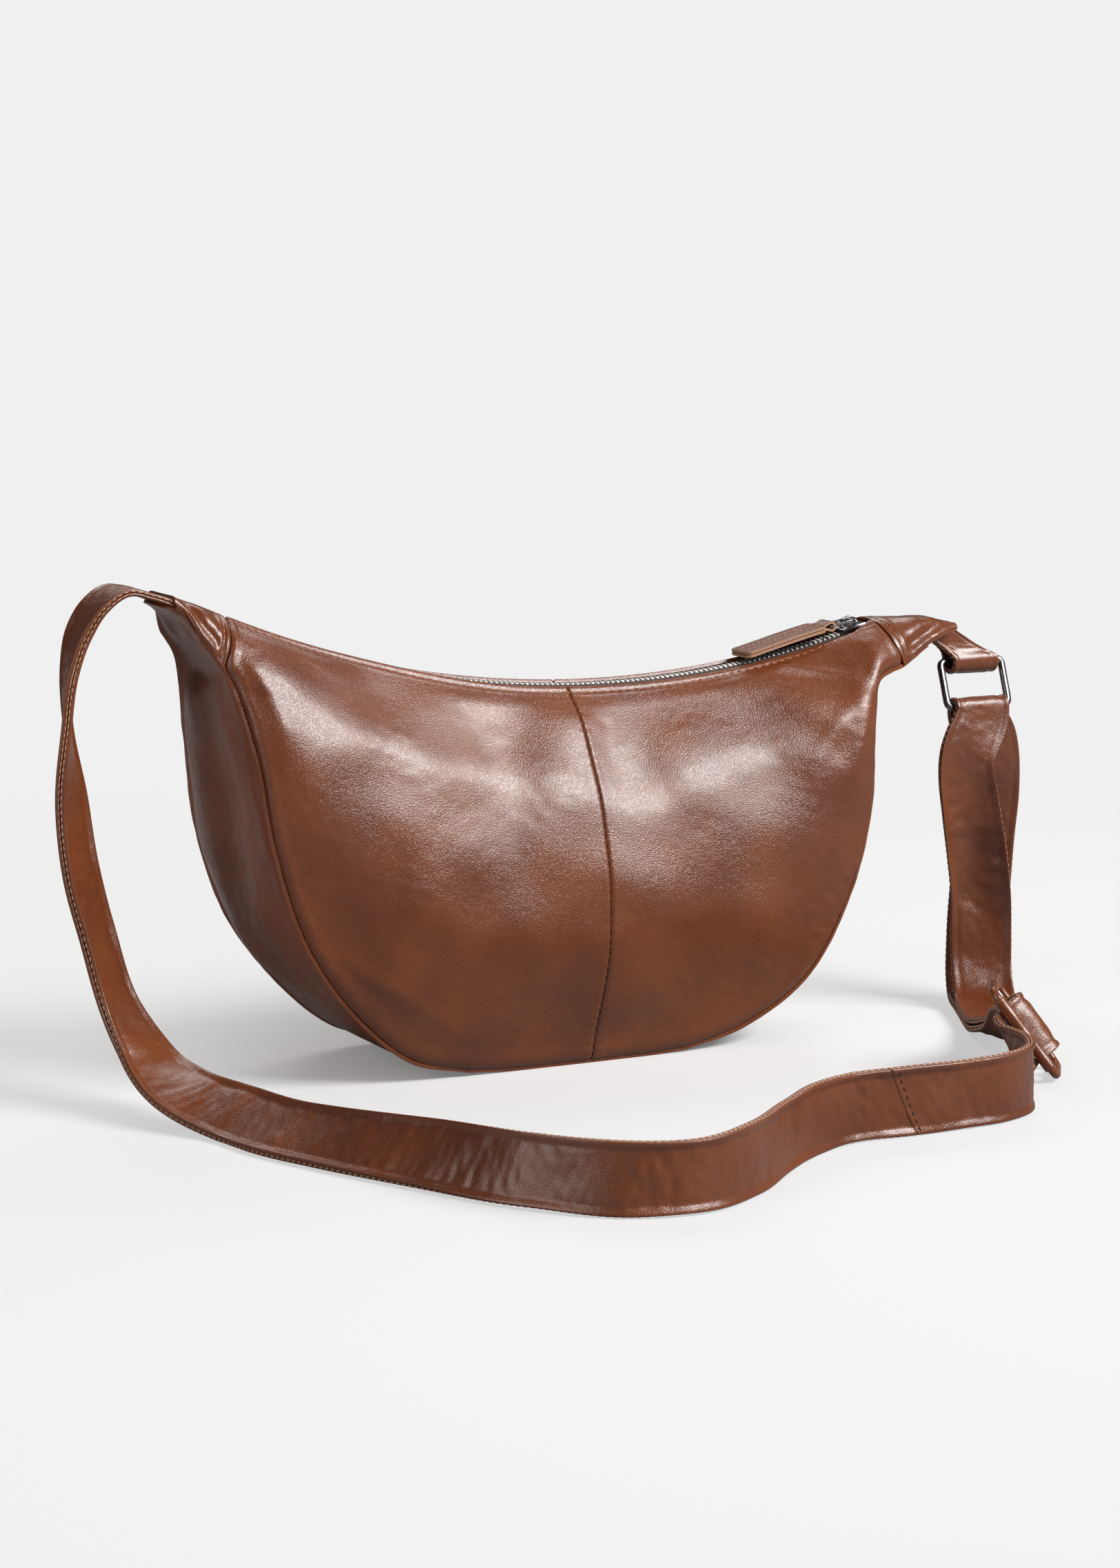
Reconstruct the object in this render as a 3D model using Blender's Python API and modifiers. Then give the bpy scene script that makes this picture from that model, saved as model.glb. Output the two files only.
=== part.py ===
"""A mini bag: a crescent of brown leather with a curved zip along its top and one long strap.

The bag stands on its gusset. The origin is the middle of its base, X runs along the bag to its right tip,
Y to its back and Z up. Lengths are in metres. A table of places holds shares of the sizes that they follow.
"""

import math

import bmesh
import bpy
import numpy as np
from mathutils import Matrix, Vector

# The body
HALF_LENGTH = 0.188
BAG_HEIGHT = 0.212
GUSSET_WIDTH = 0.080
BELLY = 0.018
LEATHER = 0.0016
LINING = 0.0006
LINING_GAP = 0.0008
CAP_SEAM_GAP = 0.0008
TOUCH_GAP = 0.0003

# The zip, which lies on an arc
ZIP_SAG = 0.0282
PANEL_RISE = 0.003
OPENING_CLEARANCE = 0.0019
TAPE_EDGE = 0.0039
TAPE_THICKNESS = 0.0007
TOOTH_PITCH = 0.00254
TOOTH_LENGTH = 0.00095
TOOTH_OVERLAP = 0.0006
TOOTH_HALF_HEIGHT = 0.0013
TOOTH_CORD = 0.0013
STOP_LENGTH = 0.0019
STOP_MARGIN = 0.0008

# The slider and its pull
SLIDER_LENGTH = 0.012
SLIDER_PLATE = 0.0011
SLIDER_FLANGE = 0.0010
SLIDER_SIDE_CLEARANCE = 0.0006
SLIDER_TAPE_SLOT = 0.0004
SLIDER_POST = 0.0030
SLIDER_POST_WIDTH = 0.0022
BRIDGE_HALF_LENGTH = 0.0045
BRIDGE_HEIGHT = 0.0039
BRIDGE_THICKNESS = 0.0010
BRIDGE_WIDTH = 0.0024
PULL_HINGE_RISE = 0.0020
LINK_WIDTH = 0.009
LINK_LENGTH = 0.013
LINK_WIRE = 0.0014
PULL_WIDTH = 0.011
PULL_LENGTH = 0.048
PULL_LEATHER = 0.0013
PULL_REST = 0.0066
PULL_TURN_DEGREES = (60, 300)

# The strap, its ring and its tab
STRAP_WIDTH = 0.029
STRAP_THICKNESS = 0.0026
STRAP_EDGE = 0.0010
STRAP_REACH = 0.280
STRAP_LAYER_GAP = 0.0012
FLOOR_GAP = 0.0003
ROUTE_STEP = 0.009
RING_WIRE = 0.0030
RING_SIDE_GAP = 0.001
RING_HEIGHT = 0.0225
RING_CORNER = 0.003
RING_LEAN_DEGREES = 20
RING_TURN_DEGREES = (185, -5)
TAB_WIDTH = 0.024
TAB_TOP_WIDTH = 0.020
TAB_BORE = 0.0041
TAB_TURN_DEGREES = (170, 370)

# The adjuster on the strap
ADJUSTER_END = 0.0095
ADJUSTER_SPACING = 0.014
ADJUSTER_BAR = 0.0030
ADJUSTER_THICKNESS = 0.0024
ADJUSTER_CORNER = 0.003
SLEEVE_END = 0.0045
SLEEVE_WALL = 0.0011
WEAVE_GAP = 0.0005
NEAR_BAR_START_DEGREES = -100
FAR_BAR_END_DEGREES = -75
WRAP_DEGREES = (-80, -290)
WRAP_START_SHARES = (2.15, 1.75)

# The seam between panel and gusset, from the left tip under the bag to the right tip: its x, its z and half
# the bag's depth there, as shares of HALF_LENGTH, BAG_HEIGHT and half of GUSSET_WIDTH
SEAM_SHARES = (
    (-1.000, 0.981, 0.480),
    (-0.900, 0.860, 0.640),
    (-0.853, 0.700, 0.900),
    (-0.820, 0.510, 1.000),
    (-0.740, 0.300, 1.000),
    (-0.620, 0.148, 1.000),
    (-0.480, 0.045, 0.980),
    (-0.330, 0.000, 0.940),
    (0.000, 0.000, 0.930),
    (0.240, 0.000, 0.940),
    (0.400, 0.045, 0.980),
    (0.560, 0.130, 1.000),
    (0.690, 0.310, 1.000),
    (0.750, 0.500, 0.980),
    (0.770, 0.670, 0.880),
    (0.800, 0.762, 0.740),
    (0.900, 0.790, 0.550),
    (0.995, 0.825, 0.350),
    (1.100, 0.851, 0.180),
)
ZIP_LEFT_SHARES = (-0.867, 0.952)
ZIP_RIGHT_SHARES = (0.856, 0.870)
LEFT_TIP_SHARE = -0.995
RIGHT_TIP_SHARES = (1.100, 0.866)
CAP_HUMP_SHARE = 0.007
BACK_DEPTH_SHARE = 1.2

# Places along that seam, as shares of its length
LEFT_CAP_SHARE = 0.047
CENTRE_SEAM_SHARE = 0.500
RIGHT_CAP_SHARE = 0.935
GUSSET_END_SHARE = 0.967
NUDGE_SHARE = 0.0001

# Rows from the opening (0) down to the seam (1)
PANEL_ROW_SHARES = (0, 0.03, 0.08, 0.15, 0.24, 0.35, 0.47, 0.60, 0.73, 0.86, 1)
CAP_ROW_SHARES = (0, 0.012, 0.04, 0.10, 0.20, 0.36, 0.56, 0.78, 1)
TAPE_ROW_SHARES = (0.02, 0.045, 0.07)
LINING_TOP_SHARE = 0.12
LINING_ROW_SHARES = (0, 0.15, 0.33, 0.55, 0.78, 1)

# The strap's end that is sewn into the left tip and comes out over it: x, y and the height above lying flat
# as shares of HALF_LENGTH, STRAP_REACH and BAG_HEIGHT, then the direction of its width
ROOT_RUN_SHARES = (
    (-0.925, 0.000, 0.954, (0, 1, 0)),
    (-1.003, 0.000, 0.992, (0, 1, 0)),
    (-1.048, 0.000, 1.006, (0, 1, 0)),
    (-1.101, 0.000, 1.016, (0, 1, 0)),
)
# The same from there to the floor
HANGING_SHARES = (
    (-1.162, -0.004, 0.985, (0.03, 1, 0)),
    (-1.199, -0.005, 0.935, (0.08, 0.99, 0)),
    (-1.223, -0.007, 0.865, (0.20, 0.98, 0)),
    (-1.234, -0.011, 0.747, (0.36, 0.93, 0)),
    (-1.231, -0.018, 0.605, (0.63, 0.77, 0)),
    (-1.218, -0.029, 0.464, (0.68, 0.72, 0.04)),
    (-1.186, -0.039, 0.332, (0.66, 0.74, 0.10)),
    (-1.154, -0.061, 0.204, (0.75, 0.66, -0.10)),
    (-1.122, -0.114, 0.118, (0.93, 0.34, -0.14)),
    (-1.098, -0.212, 0.066, (0.96, 0.13, 0.24)),
)
# The part that stands on its edge: x and y of its lower edge as above, and the direction of its width
STANDING_SHARES = (
    (-1.085, -0.345, (0.82, 0.16, 0.55)),
    (-1.055, -0.440, (0.78, 0.24, 0.57)),
    (-1.000, -0.535, (0.70, 0.32, 0.64)),
    (-0.872, -0.711, (0.53, 0.28, 0.80)),
    (-0.739, -0.871, (0.20, 0.15, 0.97)),
    (-0.564, -0.982, (0.05, 0.07, 1)),
    (-0.426, -1.000, (0, 0.05, 1)),
    (-0.266, -0.950, (0, 0.02, 1)),
    (-0.117, -0.864, (0, 0, 1)),
    (0.016, -0.796, (0, 0, 1)),
    (0.144, -0.761, (0, 0, 1)),
)
SPLICE_SHARES = (0.258, -0.764, (0, 0, 1))
SPLICE_SLANT_SHARE = 0.45
TAIL_START_SHARES = (
    (0.426, -0.764, (0, 0, 1)),
    (0.532, -0.757, (0, 0, 1)),
    (0.628, -0.725, (0, 0, 1)),
    (0.691, -0.664, (-0.05, 0.05, 1)),
    (0.734, -0.603, (-0.18, 0.15, 0.97)),
)
# The lower of two layers between the adjuster and the ring: as HANGING_SHARES
FLOOR_RUN_SHARES = (
    (0.910, -0.404, 0.034, (-0.72, 0.42, 0.50)),
    (0.974, -0.318, 0.014, (-0.86, 0.42, 0.20)),
    (1.037, -0.230, 0.001, (-0.92, 0.39, 0)),
    (1.096, -0.146, 0.000, (-0.91, 0.41, 0)),
)
# The upper layer goes on in front of the ring's bar, the lower one behind it
FRONT_RUN_SHARES = (
    (1.134, -0.093, 0.030, (-0.90, 0.43, 0)),
    (1.152, -0.064, 0.078, (-0.89, 0.45, 0)),
    (1.160, -0.052, 0.155, (-0.89, 0.45, 0)),
    (1.160, -0.050, 0.240, (-0.89, 0.45, 0)),
    (1.141, -0.053, 0.350, (-0.92, 0.38, 0)),
    (1.122, -0.054, 0.440, (-0.98, 0.20, 0)),
    (1.107, -0.053, 0.555, (-1, 0.05, 0)),
)
BACK_RUN_SHARES = (
    (1.215, -0.012, 0.582, (-1, 0.05, 0)),
    (1.225, -0.009, 0.478, (-0.97, 0.20, 0)),
    (1.215, -0.002, 0.360, (-0.93, 0.35, 0)),
    (1.205, 0.000, 0.237, (-0.90, 0.43, 0)),
    (1.197, 0.000, 0.143, (-0.90, 0.43, 0)),
    (1.188, -0.009, 0.063, (-0.90, 0.43, 0)),
    (1.170, -0.036, 0.014, (-0.90, 0.43, 0)),
    (1.139, -0.086, 0.001, (-0.90, 0.43, 0)),
)

# The ring hangs from its upper bar
RING_SHARES = (1.165, 0.776)
TAB_SHARES = ((1.045, 0.862), (1.078, 0.840), (1.115, 0.816), (1.147, 0.797))
TAB_SLOPE_SHARE = -0.19
ROOT_SHARES = (-1.122, 1.019)
CAP_TIP_TOP_SHARE = 0.6
CAP_TOP_POWER = 30
ADJUSTER_SHARES = (0.787, -0.557)
ADJUSTER_ACROSS_SHARES = (-0.48, 0.38, 0.79)
ADJUSTER_ALONG_SHARES = (0.572, 0.819, -0.046)


def unit(vector):
    vector = np.array(vector, float)
    return vector / np.linalg.norm(vector)


class SmoothCurve:
    """A curve through rows of numbers, of which the first few are a place and measure its length."""

    def __init__(self, rows, measured):
        self.rows = np.array(rows, float)
        rises = np.diff(self.rows, axis=0)
        self.steps = np.linalg.norm(rises[:, :measured], axis=1)
        self.knots = np.concatenate([[0], np.cumsum(self.steps)])
        slopes = rises / self.steps[:, None]
        before = self.steps[:-1, None]
        after = self.steps[1:, None]
        inner = (slopes[:-1] * after + slopes[1:] * before) / (before + after)
        self.slopes = np.concatenate([slopes[:1], inner, slopes[-1:]])

    def at(self, length):
        """The row at this length, and its slope."""
        index = int(np.searchsorted(self.knots, length, side="right")) - 1
        index = min(max(index, 0), len(self.steps) - 1)
        step = self.steps[index]
        u = (length - self.knots[index]) / step
        first, last = self.rows[index], self.rows[index + 1]
        leaving, arriving = self.slopes[index] * step, self.slopes[index + 1] * step
        bend = first - last
        row = first + u * leaving + u * u * (-3 * bend - 2 * leaving - arriving)
        row = row + u * u * u * (2 * bend + leaving + arriving)
        slope = leaving + 2 * u * (-3 * bend - 2 * leaving - arriving)
        slope = slope + 3 * u * u * (2 * bend + leaving + arriving)
        return row, slope / step

    def stations(self, step):
        """Lengths along the curve: each row's own, and more between rows that lie apart."""
        lengths = []
        for start, size in zip(self.knots, self.steps):
            count = max(1, math.ceil(size / step))
            lengths += [start + size * number / count for number in range(count)]
        return lengths + [self.knots[-1]]


# Sizes that follow from those above
CORD_OUTER = TAPE_EDGE - TOUCH_GAP
CORD_INNER = CORD_OUTER - TOOTH_CORD
SLIDER_INSIDE = TOOTH_HALF_HEIGHT + TOUCH_GAP
SLIDER_TOP = SLIDER_INSIDE + SLIDER_PLATE
SLIDER_HALF_WIDTH = CORD_OUTER + SLIDER_SIDE_CLEARANCE + SLIDER_FLANGE
HALF_OPENING = SLIDER_HALF_WIDTH + OPENING_CLEARANCE
PULL_HINGE = SLIDER_TOP + PULL_HINGE_RISE
STRAP_FLAT = STRAP_THICKNESS / 2 + FLOOR_GAP
RING_WIDTH = STRAP_WIDTH + RING_WIRE + 2 * RING_SIDE_GAP
ADJUSTER_LENGTH = STRAP_WIDTH + 2 * ADJUSTER_END
SLEEVE_LENGTH = STRAP_WIDTH + 2 * SLEEVE_END

SEAM = SmoothCurve(
    [(x * HALF_LENGTH, z * BAG_HEIGHT, w * GUSSET_WIDTH / 2) for x, z, w in SEAM_SHARES], 2
)


# The zip's arc

def arc_of_zip():
    """Its centre and radius, from its two ends and its sag."""
    left = np.array([ZIP_LEFT_SHARES[0] * HALF_LENGTH, ZIP_LEFT_SHARES[1] * BAG_HEIGHT])
    right = np.array([ZIP_RIGHT_SHARES[0] * HALF_LENGTH, ZIP_RIGHT_SHARES[1] * BAG_HEIGHT])
    half_chord = np.linalg.norm(right - left) / 2
    radius = (half_chord**2 + ZIP_SAG**2) / (2 * ZIP_SAG)
    along = (right - left) / (2 * half_chord)
    centre = (left + right) / 2 + np.array([-along[1], along[0]]) * (radius - ZIP_SAG)
    return centre, radius


ARC_CENTRE, ARC_RADIUS = arc_of_zip()
ZIP_LEFT = math.asin((ZIP_LEFT_SHARES[0] * HALF_LENGTH - ARC_CENTRE[0]) / ARC_RADIUS)
ZIP_RIGHT = math.asin((ZIP_RIGHT_SHARES[0] * HALF_LENGTH - ARC_CENTRE[0]) / ARC_RADIUS)
LEFT_TIP = math.asin((LEFT_TIP_SHARE * HALF_LENGTH - ARC_CENTRE[0]) / (ARC_RADIUS - PANEL_RISE))
STOP_START = ZIP_LEFT + STOP_MARGIN / ARC_RADIUS
TEETH_START = STOP_START + (STOP_LENGTH + TOUCH_GAP) / ARC_RADIUS
TOP_STOP_START = ZIP_RIGHT - (STOP_MARGIN + STOP_LENGTH) / ARC_RADIUS
SLIDER_CLOSED = TOP_STOP_START - (TOUCH_GAP + SLIDER_LENGTH / 2) / ARC_RADIUS


def on_arc(angle, lift, y=0.0):
    """A point of the zip: its angle from straight below the arc's centre, and its lift above the teeth."""
    reach = ARC_RADIUS - lift
    x = ARC_CENTRE[0] + reach * math.sin(angle)
    z = ARC_CENTRE[1] - reach * math.cos(angle)
    return np.array([x, y, z])


# The skin of the bag: share runs along the seam, fall from the opening down to the seam

def top_at(share):
    """The line over the opening, carried on over both end caps."""
    if share > RIGHT_CAP_SHARE:
        part = (share - RIGHT_CAP_SHARE) / (1 - RIGHT_CAP_SHARE)
        start = on_arc(ZIP_RIGHT, PANEL_RISE)
        tip = np.array([RIGHT_TIP_SHARES[0] * HALF_LENGTH, 0, RIGHT_TIP_SHARES[1] * BAG_HEIGHT])
        hump = CAP_HUMP_SHARE * BAG_HEIGHT * math.sin(math.pi * part)
        return start + (tip - start) * part + np.array([0, 0, hump])
    if share < LEFT_CAP_SHARE:
        return on_arc(LEFT_TIP + (ZIP_LEFT - LEFT_TIP) * share / LEFT_CAP_SHARE, PANEL_RISE)
    return on_arc(ZIP_LEFT + (ZIP_RIGHT - ZIP_LEFT) * along_panel(share), PANEL_RISE)


def along_panel(share):
    return (share - LEFT_CAP_SHARE) / (RIGHT_CAP_SHARE - LEFT_CAP_SHARE)


def side_depth(half_depth, side):
    """The seam's distance from the zip's plane: the full back sags out further than the front."""
    return half_depth * (BACK_DEPTH_SHARE if side > 0 else 1)


def half_top(share, half_depth):
    """Half of the opening, which turns into a share of the tip's depth under an end cap."""
    if share < LEFT_CAP_SHARE:
        part = 1 - share / LEFT_CAP_SHARE
    elif share > RIGHT_CAP_SHARE:
        part = (share - RIGHT_CAP_SHARE) / (1 - RIGHT_CAP_SHARE)
    else:
        part = 0
    return HALF_OPENING * (1 - part) + half_depth * CAP_TIP_TOP_SHARE * part


def skin(share, fall, side, closed_top=False):
    """A point of the outer skin, on the front (side -1) or the back (side 1)."""
    top = top_at(share)
    x, z, half_depth = SEAM.at(share * SEAM.knots[-1])[0]
    half_depth = side_depth(half_depth, side)
    opening = half_top(share, half_depth)
    y = opening + (half_depth - opening) * (1 - (1 - fall) ** 3)
    if LEFT_CAP_SHARE < share < RIGHT_CAP_SHARE:
        y += BELLY * math.sin(math.pi * along_panel(share)) * math.sin(math.pi * fall)
    if closed_top:
        y *= math.sqrt(1 - (1 - fall) ** CAP_TOP_POWER)
    place = top + (np.array([x, 0, max(z, 0)]) - top) * fall
    return place + np.array([0, side * y, 0])


def skin_normal(share, fall, side):
    """The outward normal of the skin."""
    before = max(fall - NUDGE_SHARE, 0)
    after = min(fall + NUDGE_SHARE, 1)
    down = skin(share, after, side) - skin(share, before, side)
    along = skin(share + NUDGE_SHARE, fall, side) - skin(share - NUDGE_SHARE, fall, side)
    normal = unit(np.cross(along, down))
    return normal if normal[1] * side > 0 else -normal


def under_skin(share, fall, side, depth):
    return skin(share, fall, side) - depth * skin_normal(share, fall, side)


def shares_between(start, end, count):
    return [start + (end - start) * number / count for number in range(count + 1)]


def arc_angles(start, end, count):
    return [math.radians(degrees) for degrees in shares_between(start, end, count)]


def panel_columns(gap):
    """The columns of the left and the right half of a panel, which leave this gap at each of their ends."""
    inset = gap / 2 / SEAM.knots[-1]
    middle = TOUCH_GAP / 2 / SEAM.knots[-1]
    left = shares_between(LEFT_CAP_SHARE + inset, CENTRE_SEAM_SHARE - middle, 14)
    right = shares_between(CENTRE_SEAM_SHARE + middle, RIGHT_CAP_SHARE - inset, 14)
    return left, right


# Building blocks

def clear_scene():
    for obj in list(bpy.data.objects):
        bpy.data.objects.remove(obj, do_unlink=True)
    for name in ("mini_bag", "guides"):
        collection = bpy.data.collections.new(name)
        bpy.context.scene.collection.children.link(collection)


def finish(name, colour, roughness, metallic):
    """A material of the object's own."""
    material = bpy.data.materials.new(name)
    material.use_nodes = True
    shader = material.node_tree.nodes["Principled BSDF"]
    shader.inputs["Base Color"].default_value = (*colour, 1)
    shader.inputs["Roughness"].default_value = roughness
    shader.inputs["Metallic"].default_value = metallic
    return material


def leather(name):
    return finish(name, (0.17, 0.085, 0.062), 0.42, 0.0)


def cloth(name):
    return finish(name, (0.09, 0.055, 0.045), 0.85, 0.0)


def metal(name):
    return finish(name, (0.20, 0.19, 0.20), 0.28, 1.0)


def add_object(name, data, material, parent=None, keep_world=False):
    obj = bpy.data.objects.new(name, data)
    bpy.data.collections["mini_bag"].objects.link(obj)
    data.materials.append(material)
    if parent:
        obj.parent = parent
        if keep_world:
            bpy.context.view_layer.update()
            obj.matrix_parent_inverse = parent.matrix_world.inverted()
    return obj


def add_mesh(name, bm, material, parent=None, keep_world=False, smooth_angle=0.6):
    mesh = bpy.data.meshes.new(name)
    bm.to_mesh(mesh)
    bm.free()
    mesh.shade_smooth()
    mesh.set_sharp_from_angle(angle=smooth_angle)
    return add_object(name, mesh, material, parent, keep_world)


def add_empty(name, world, parent=None):
    """An empty on a joint's axis, placed in the world."""
    empty = bpy.data.objects.new(name, None)
    empty.empty_display_size = LINK_LENGTH
    bpy.data.collections["mini_bag"].objects.link(empty)
    empty.parent = parent
    bpy.context.view_layer.update()
    before = parent.matrix_world.inverted() if parent else Matrix()
    empty.matrix_local = before @ world
    bpy.context.view_layer.update()
    return empty


def axes_at(place, x, y, z):
    """The matrix of a frame with these axes at this place."""
    frame = Matrix.Identity(4)
    for column, axis in enumerate((x, y, z, place)):
        for row in range(3):
            frame[row][column] = axis[row]
    return frame


def sheet(name, columns, rows, place, thickness, outward, material):
    """A sheet of even thickness: a grid laid on the surface place(column, row), thickened inwards."""
    bm = bmesh.new()
    bmesh.ops.create_grid(bm, x_segments=len(columns) - 1, y_segments=len(rows) - 1, size=1)
    for vert in bm.verts:
        column = columns[round((vert.co.x + 1) / 2 * (len(columns) - 1))]
        row = rows[round((vert.co.y + 1) / 2 * (len(rows) - 1))]
        vert.co = place(column, row)
    bm.normal_update()
    middle = bm.faces[:][len(bm.faces) // 2]
    if middle.normal.dot(Vector(outward)) < 0:
        bmesh.ops.reverse_faces(bm, faces=bm.faces)
    obj = add_mesh(name, bm, material)
    solid = obj.modifiers.new("thickness", "SOLIDIFY")
    solid.thickness = thickness
    solid.offset = -1
    solid.use_even_offset = True
    solid.use_quality_normals = True
    return obj


def loft(name, sections, material, parent=None, keep_world=False):
    """A solid through closed sections of equal count."""
    bm = bmesh.new()
    rings = [[bm.verts.new(point) for point in section] for section in sections]
    count = len(rings[0])
    for ring, following in zip(rings, rings[1:]):
        for number in range(count):
            after = (number + 1) % count
            bm.faces.new((ring[number], ring[after], following[after], following[number]))
    bm.faces.new(rings[0])
    bm.faces.new(rings[-1])
    bmesh.ops.recalc_face_normals(bm, faces=bm.faces)
    return add_mesh(name, bm, material, parent, keep_world)


def strip_section(centre, along, across, width, thickness, edge, cut=None, sheared=False):
    """The outline of a strip there: flat faces and edges that are drawn to a ridge. A cut lies in its plane."""
    along = unit(along)
    if not sheared:
        across = across - along * np.dot(across, along)
    across = unit(across)
    up = unit(np.cross(along, across))
    half, rise = width / 2, thickness / 2
    shape = (
        (half, 0),
        (half - edge, rise),
        (edge - half, rise),
        (-half, 0),
        (edge - half, -rise),
        (half - edge, -rise),
    )
    corners = []
    for sideways, lift in shape:
        offset = across * sideways + up * lift
        if cut is not None:
            offset = offset - along * np.dot(offset, cut) / np.dot(along, cut)
        corners.append(centre + offset)
    return corners


def strip(name, rows, shape, material, parent=None, keep_world=False, cuts=(None, None), sheared=False):
    """A strip along rows of place, width direction and width. Its shape is its thickness and its edge."""
    curve = SmoothCurve([(*place, *across) for place, across, _ in rows], 3)
    stations = curve.stations(ROUTE_STEP)
    widths = np.interp(stations, curve.knots, [width for _, _, width in rows])
    sections = []
    for number, (station, width) in enumerate(zip(stations, widths)):
        row, slope = curve.at(station)
        cut = None
        if number == 0:
            cut = cuts[0]
        elif number == len(stations) - 1:
            cut = cuts[1]
        sections.append(strip_section(row[:3], slope[:3], row[3:], width, *shape, cut, sheared))
    return loft(name, sections, material, parent, keep_world)


def prism(name, outline, place, depth, material, parent=None):
    """A flat outline in a plane, carried to both sides of it: place(u, v, w) with w from -depth to depth."""
    sections = [[place(u, v, side * depth) for u, v in outline] for side in (-1, 1)]
    return loft(name, sections, material, parent)


def rounded_rectangle(left, right, low, high, radius):
    """Its corner points, each corner a quarter circle of four points."""
    points = []
    corners = ((right, low, -90), (right, high, 0), (left, high, 90), (left, low, 180))
    for x, y, start in corners:
        middle_x = x - math.copysign(radius, x - (left + right) / 2)
        middle_y = y - math.copysign(radius, y - (low + high) / 2)
        for turn in (0, 30, 60, 90):
            angle = math.radians(start + turn)
            points.append((middle_x + radius * math.cos(angle), middle_y + radius * math.sin(angle)))
    return points


def stamped_plate(name, width, bars, bar, rail, thickness, corner, material, parent):
    """A flat plate with a window between each two of its bars. Bars cross it at these places along Y."""
    outlines = [
        rounded_rectangle(-width / 2, width / 2, bars[0] - bar / 2, bars[-1] + bar / 2, corner)
    ]
    inside = width / 2 - rail
    for low, high in zip(bars, bars[1:]):
        outlines.append(
            rounded_rectangle(-inside, inside, low + bar / 2, high - bar / 2, corner / 3)
        )
    curve = bpy.data.curves.new(name, "CURVE")
    curve.dimensions = "2D"
    curve.fill_mode = "BOTH"
    curve.extrude = thickness / 2
    for outline in outlines:
        spline = curve.splines.new("POLY")
        spline.points.add(len(outline) - 1)
        for point, (x, y) in zip(spline.points, outline):
            point.co = (x, y, 0, 1)
        spline.use_cyclic_u = True
    return add_object(name, curve, material, parent)


# The body's pieces

def make_panels():
    """Front and back, each of two halves that meet in a curved seam down the middle."""
    left, right = panel_columns(CAP_SEAM_GAP)
    for face, side in (("front", -1), ("back", 1)):
        for half, columns in (("left", left), ("right", right)):
            name = f"{face}_panel_{half}"
            sheet(
                name,
                columns,
                PANEL_ROW_SHARES,
                lambda share, fall, side=side: skin(share, fall, side),
                LEATHER,
                (0, side, 0),
                leather(name),
            )


def make_end_caps():
    """A saddle of leather over each end of the zip, from the front seam over the top to the back seam."""
    seam_share = CAP_SEAM_GAP / 2 / SEAM.knots[-1]
    rows = [-row for row in reversed(CAP_ROW_SHARES[1:])] + list(CAP_ROW_SHARES)
    for half, start, end in (
        ("left", 0, LEFT_CAP_SHARE - seam_share),
        ("right", RIGHT_CAP_SHARE + seam_share, 1),
    ):
        name = f"{half}_end_cap"
        sheet(
            name,
            shares_between(start, end, 5),
            rows,
            lambda share, row: skin(share, abs(row), math.copysign(1, row), closed_top=True),
            LEATHER,
            (0, 0, 1),
            leather(name),
        )


def gusset_half(share, side):
    """The gusset's edge on this side, a clearance short of the panel's inner face."""
    half_depth = side_depth(SEAM.at(share * SEAM.knots[-1])[0][2], side)
    return half_depth - LEATHER / abs(skin_normal(share, 1, side)[1]) - TOUCH_GAP


def gusset_place(share, row, depth=0.0, narrower=0.0):
    (x, z, _), slope = SEAM.at(share * SEAM.knots[-1])
    flat = z <= 0
    outward = np.array([0, 0, -1.0]) if flat else unit((slope[1], 0, -slope[0]))
    half = gusset_half(share, row) - narrower
    return np.array([x, 0, max(z, 0)]) - outward * depth + np.array([0, row * half, 0])


def make_gusset():
    """One strip from the left tip, under the bag, to the right tip."""
    columns = shares_between(0, GUSSET_END_SHARE, 48)
    sheet("gusset", columns, (-1, 1), gusset_place, LEATHER, (0, 0, -1), leather("gusset"))


def make_linings():
    """Three thin sheets that hang a little inside the leather."""
    depth = LEATHER + LINING_GAP
    left, right = panel_columns(CAP_SEAM_GAP)
    for face, side in (("front", -1), ("back", 1)):

        def place(share, part, side=side):
            height = np.linalg.norm(skin(share, 1, side) - skin(share, 0, side))
            end = 1 - (2 * depth + LINING) / height
            fall = LINING_TOP_SHARE + (end - LINING_TOP_SHARE) * part
            return under_skin(share, fall, side, depth)

        name = f"lining_{face}"
        columns = left[1:] + right[1:-1]
        sheet(name, columns, LINING_ROW_SHARES, place, LINING, (0, side, 0), cloth(name))
    columns = shares_between(0, GUSSET_END_SHARE, 48)
    columns = [share for share in columns if LEFT_CAP_SHARE < share < RIGHT_CAP_SHARE]
    sheet(
        "lining_gusset",
        columns,
        (-1, 1),
        lambda share, row: gusset_place(share, row, depth, LINING_GAP),
        LINING,
        (0, 0, -1),
        cloth("lining_gusset"),
    )


# The zip's pieces

def make_tapes():
    """Each tape runs flat beside the teeth, then down the inside of its panel."""
    half = TAPE_THICKNESS / 2
    for face, side in (("front", -1), ("back", 1)):

        def place(share, row, side=side):
            angle = ZIP_LEFT + (ZIP_RIGHT - ZIP_LEFT) * along_panel(share)
            if row == 0:
                return on_arc(angle, half, side * TAPE_EDGE)
            if row == 1:
                return on_arc(angle, half, side * (SLIDER_HALF_WIDTH + TOUCH_GAP))
            return under_skin(share, TAPE_ROW_SHARES[row - 2], side, LEATHER + TOUCH_GAP)

        name = f"{face}_zip_tape"
        margin = LEATHER / SEAM.knots[-1]
        columns = shares_between(LEFT_CAP_SHARE + margin, RIGHT_CAP_SHARE - margin, 28)
        rows = range(2 + len(TAPE_ROW_SHARES))
        sheet(name, columns, rows, place, TAPE_THICKNESS, (0, 0, 1), cloth(name))


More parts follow.
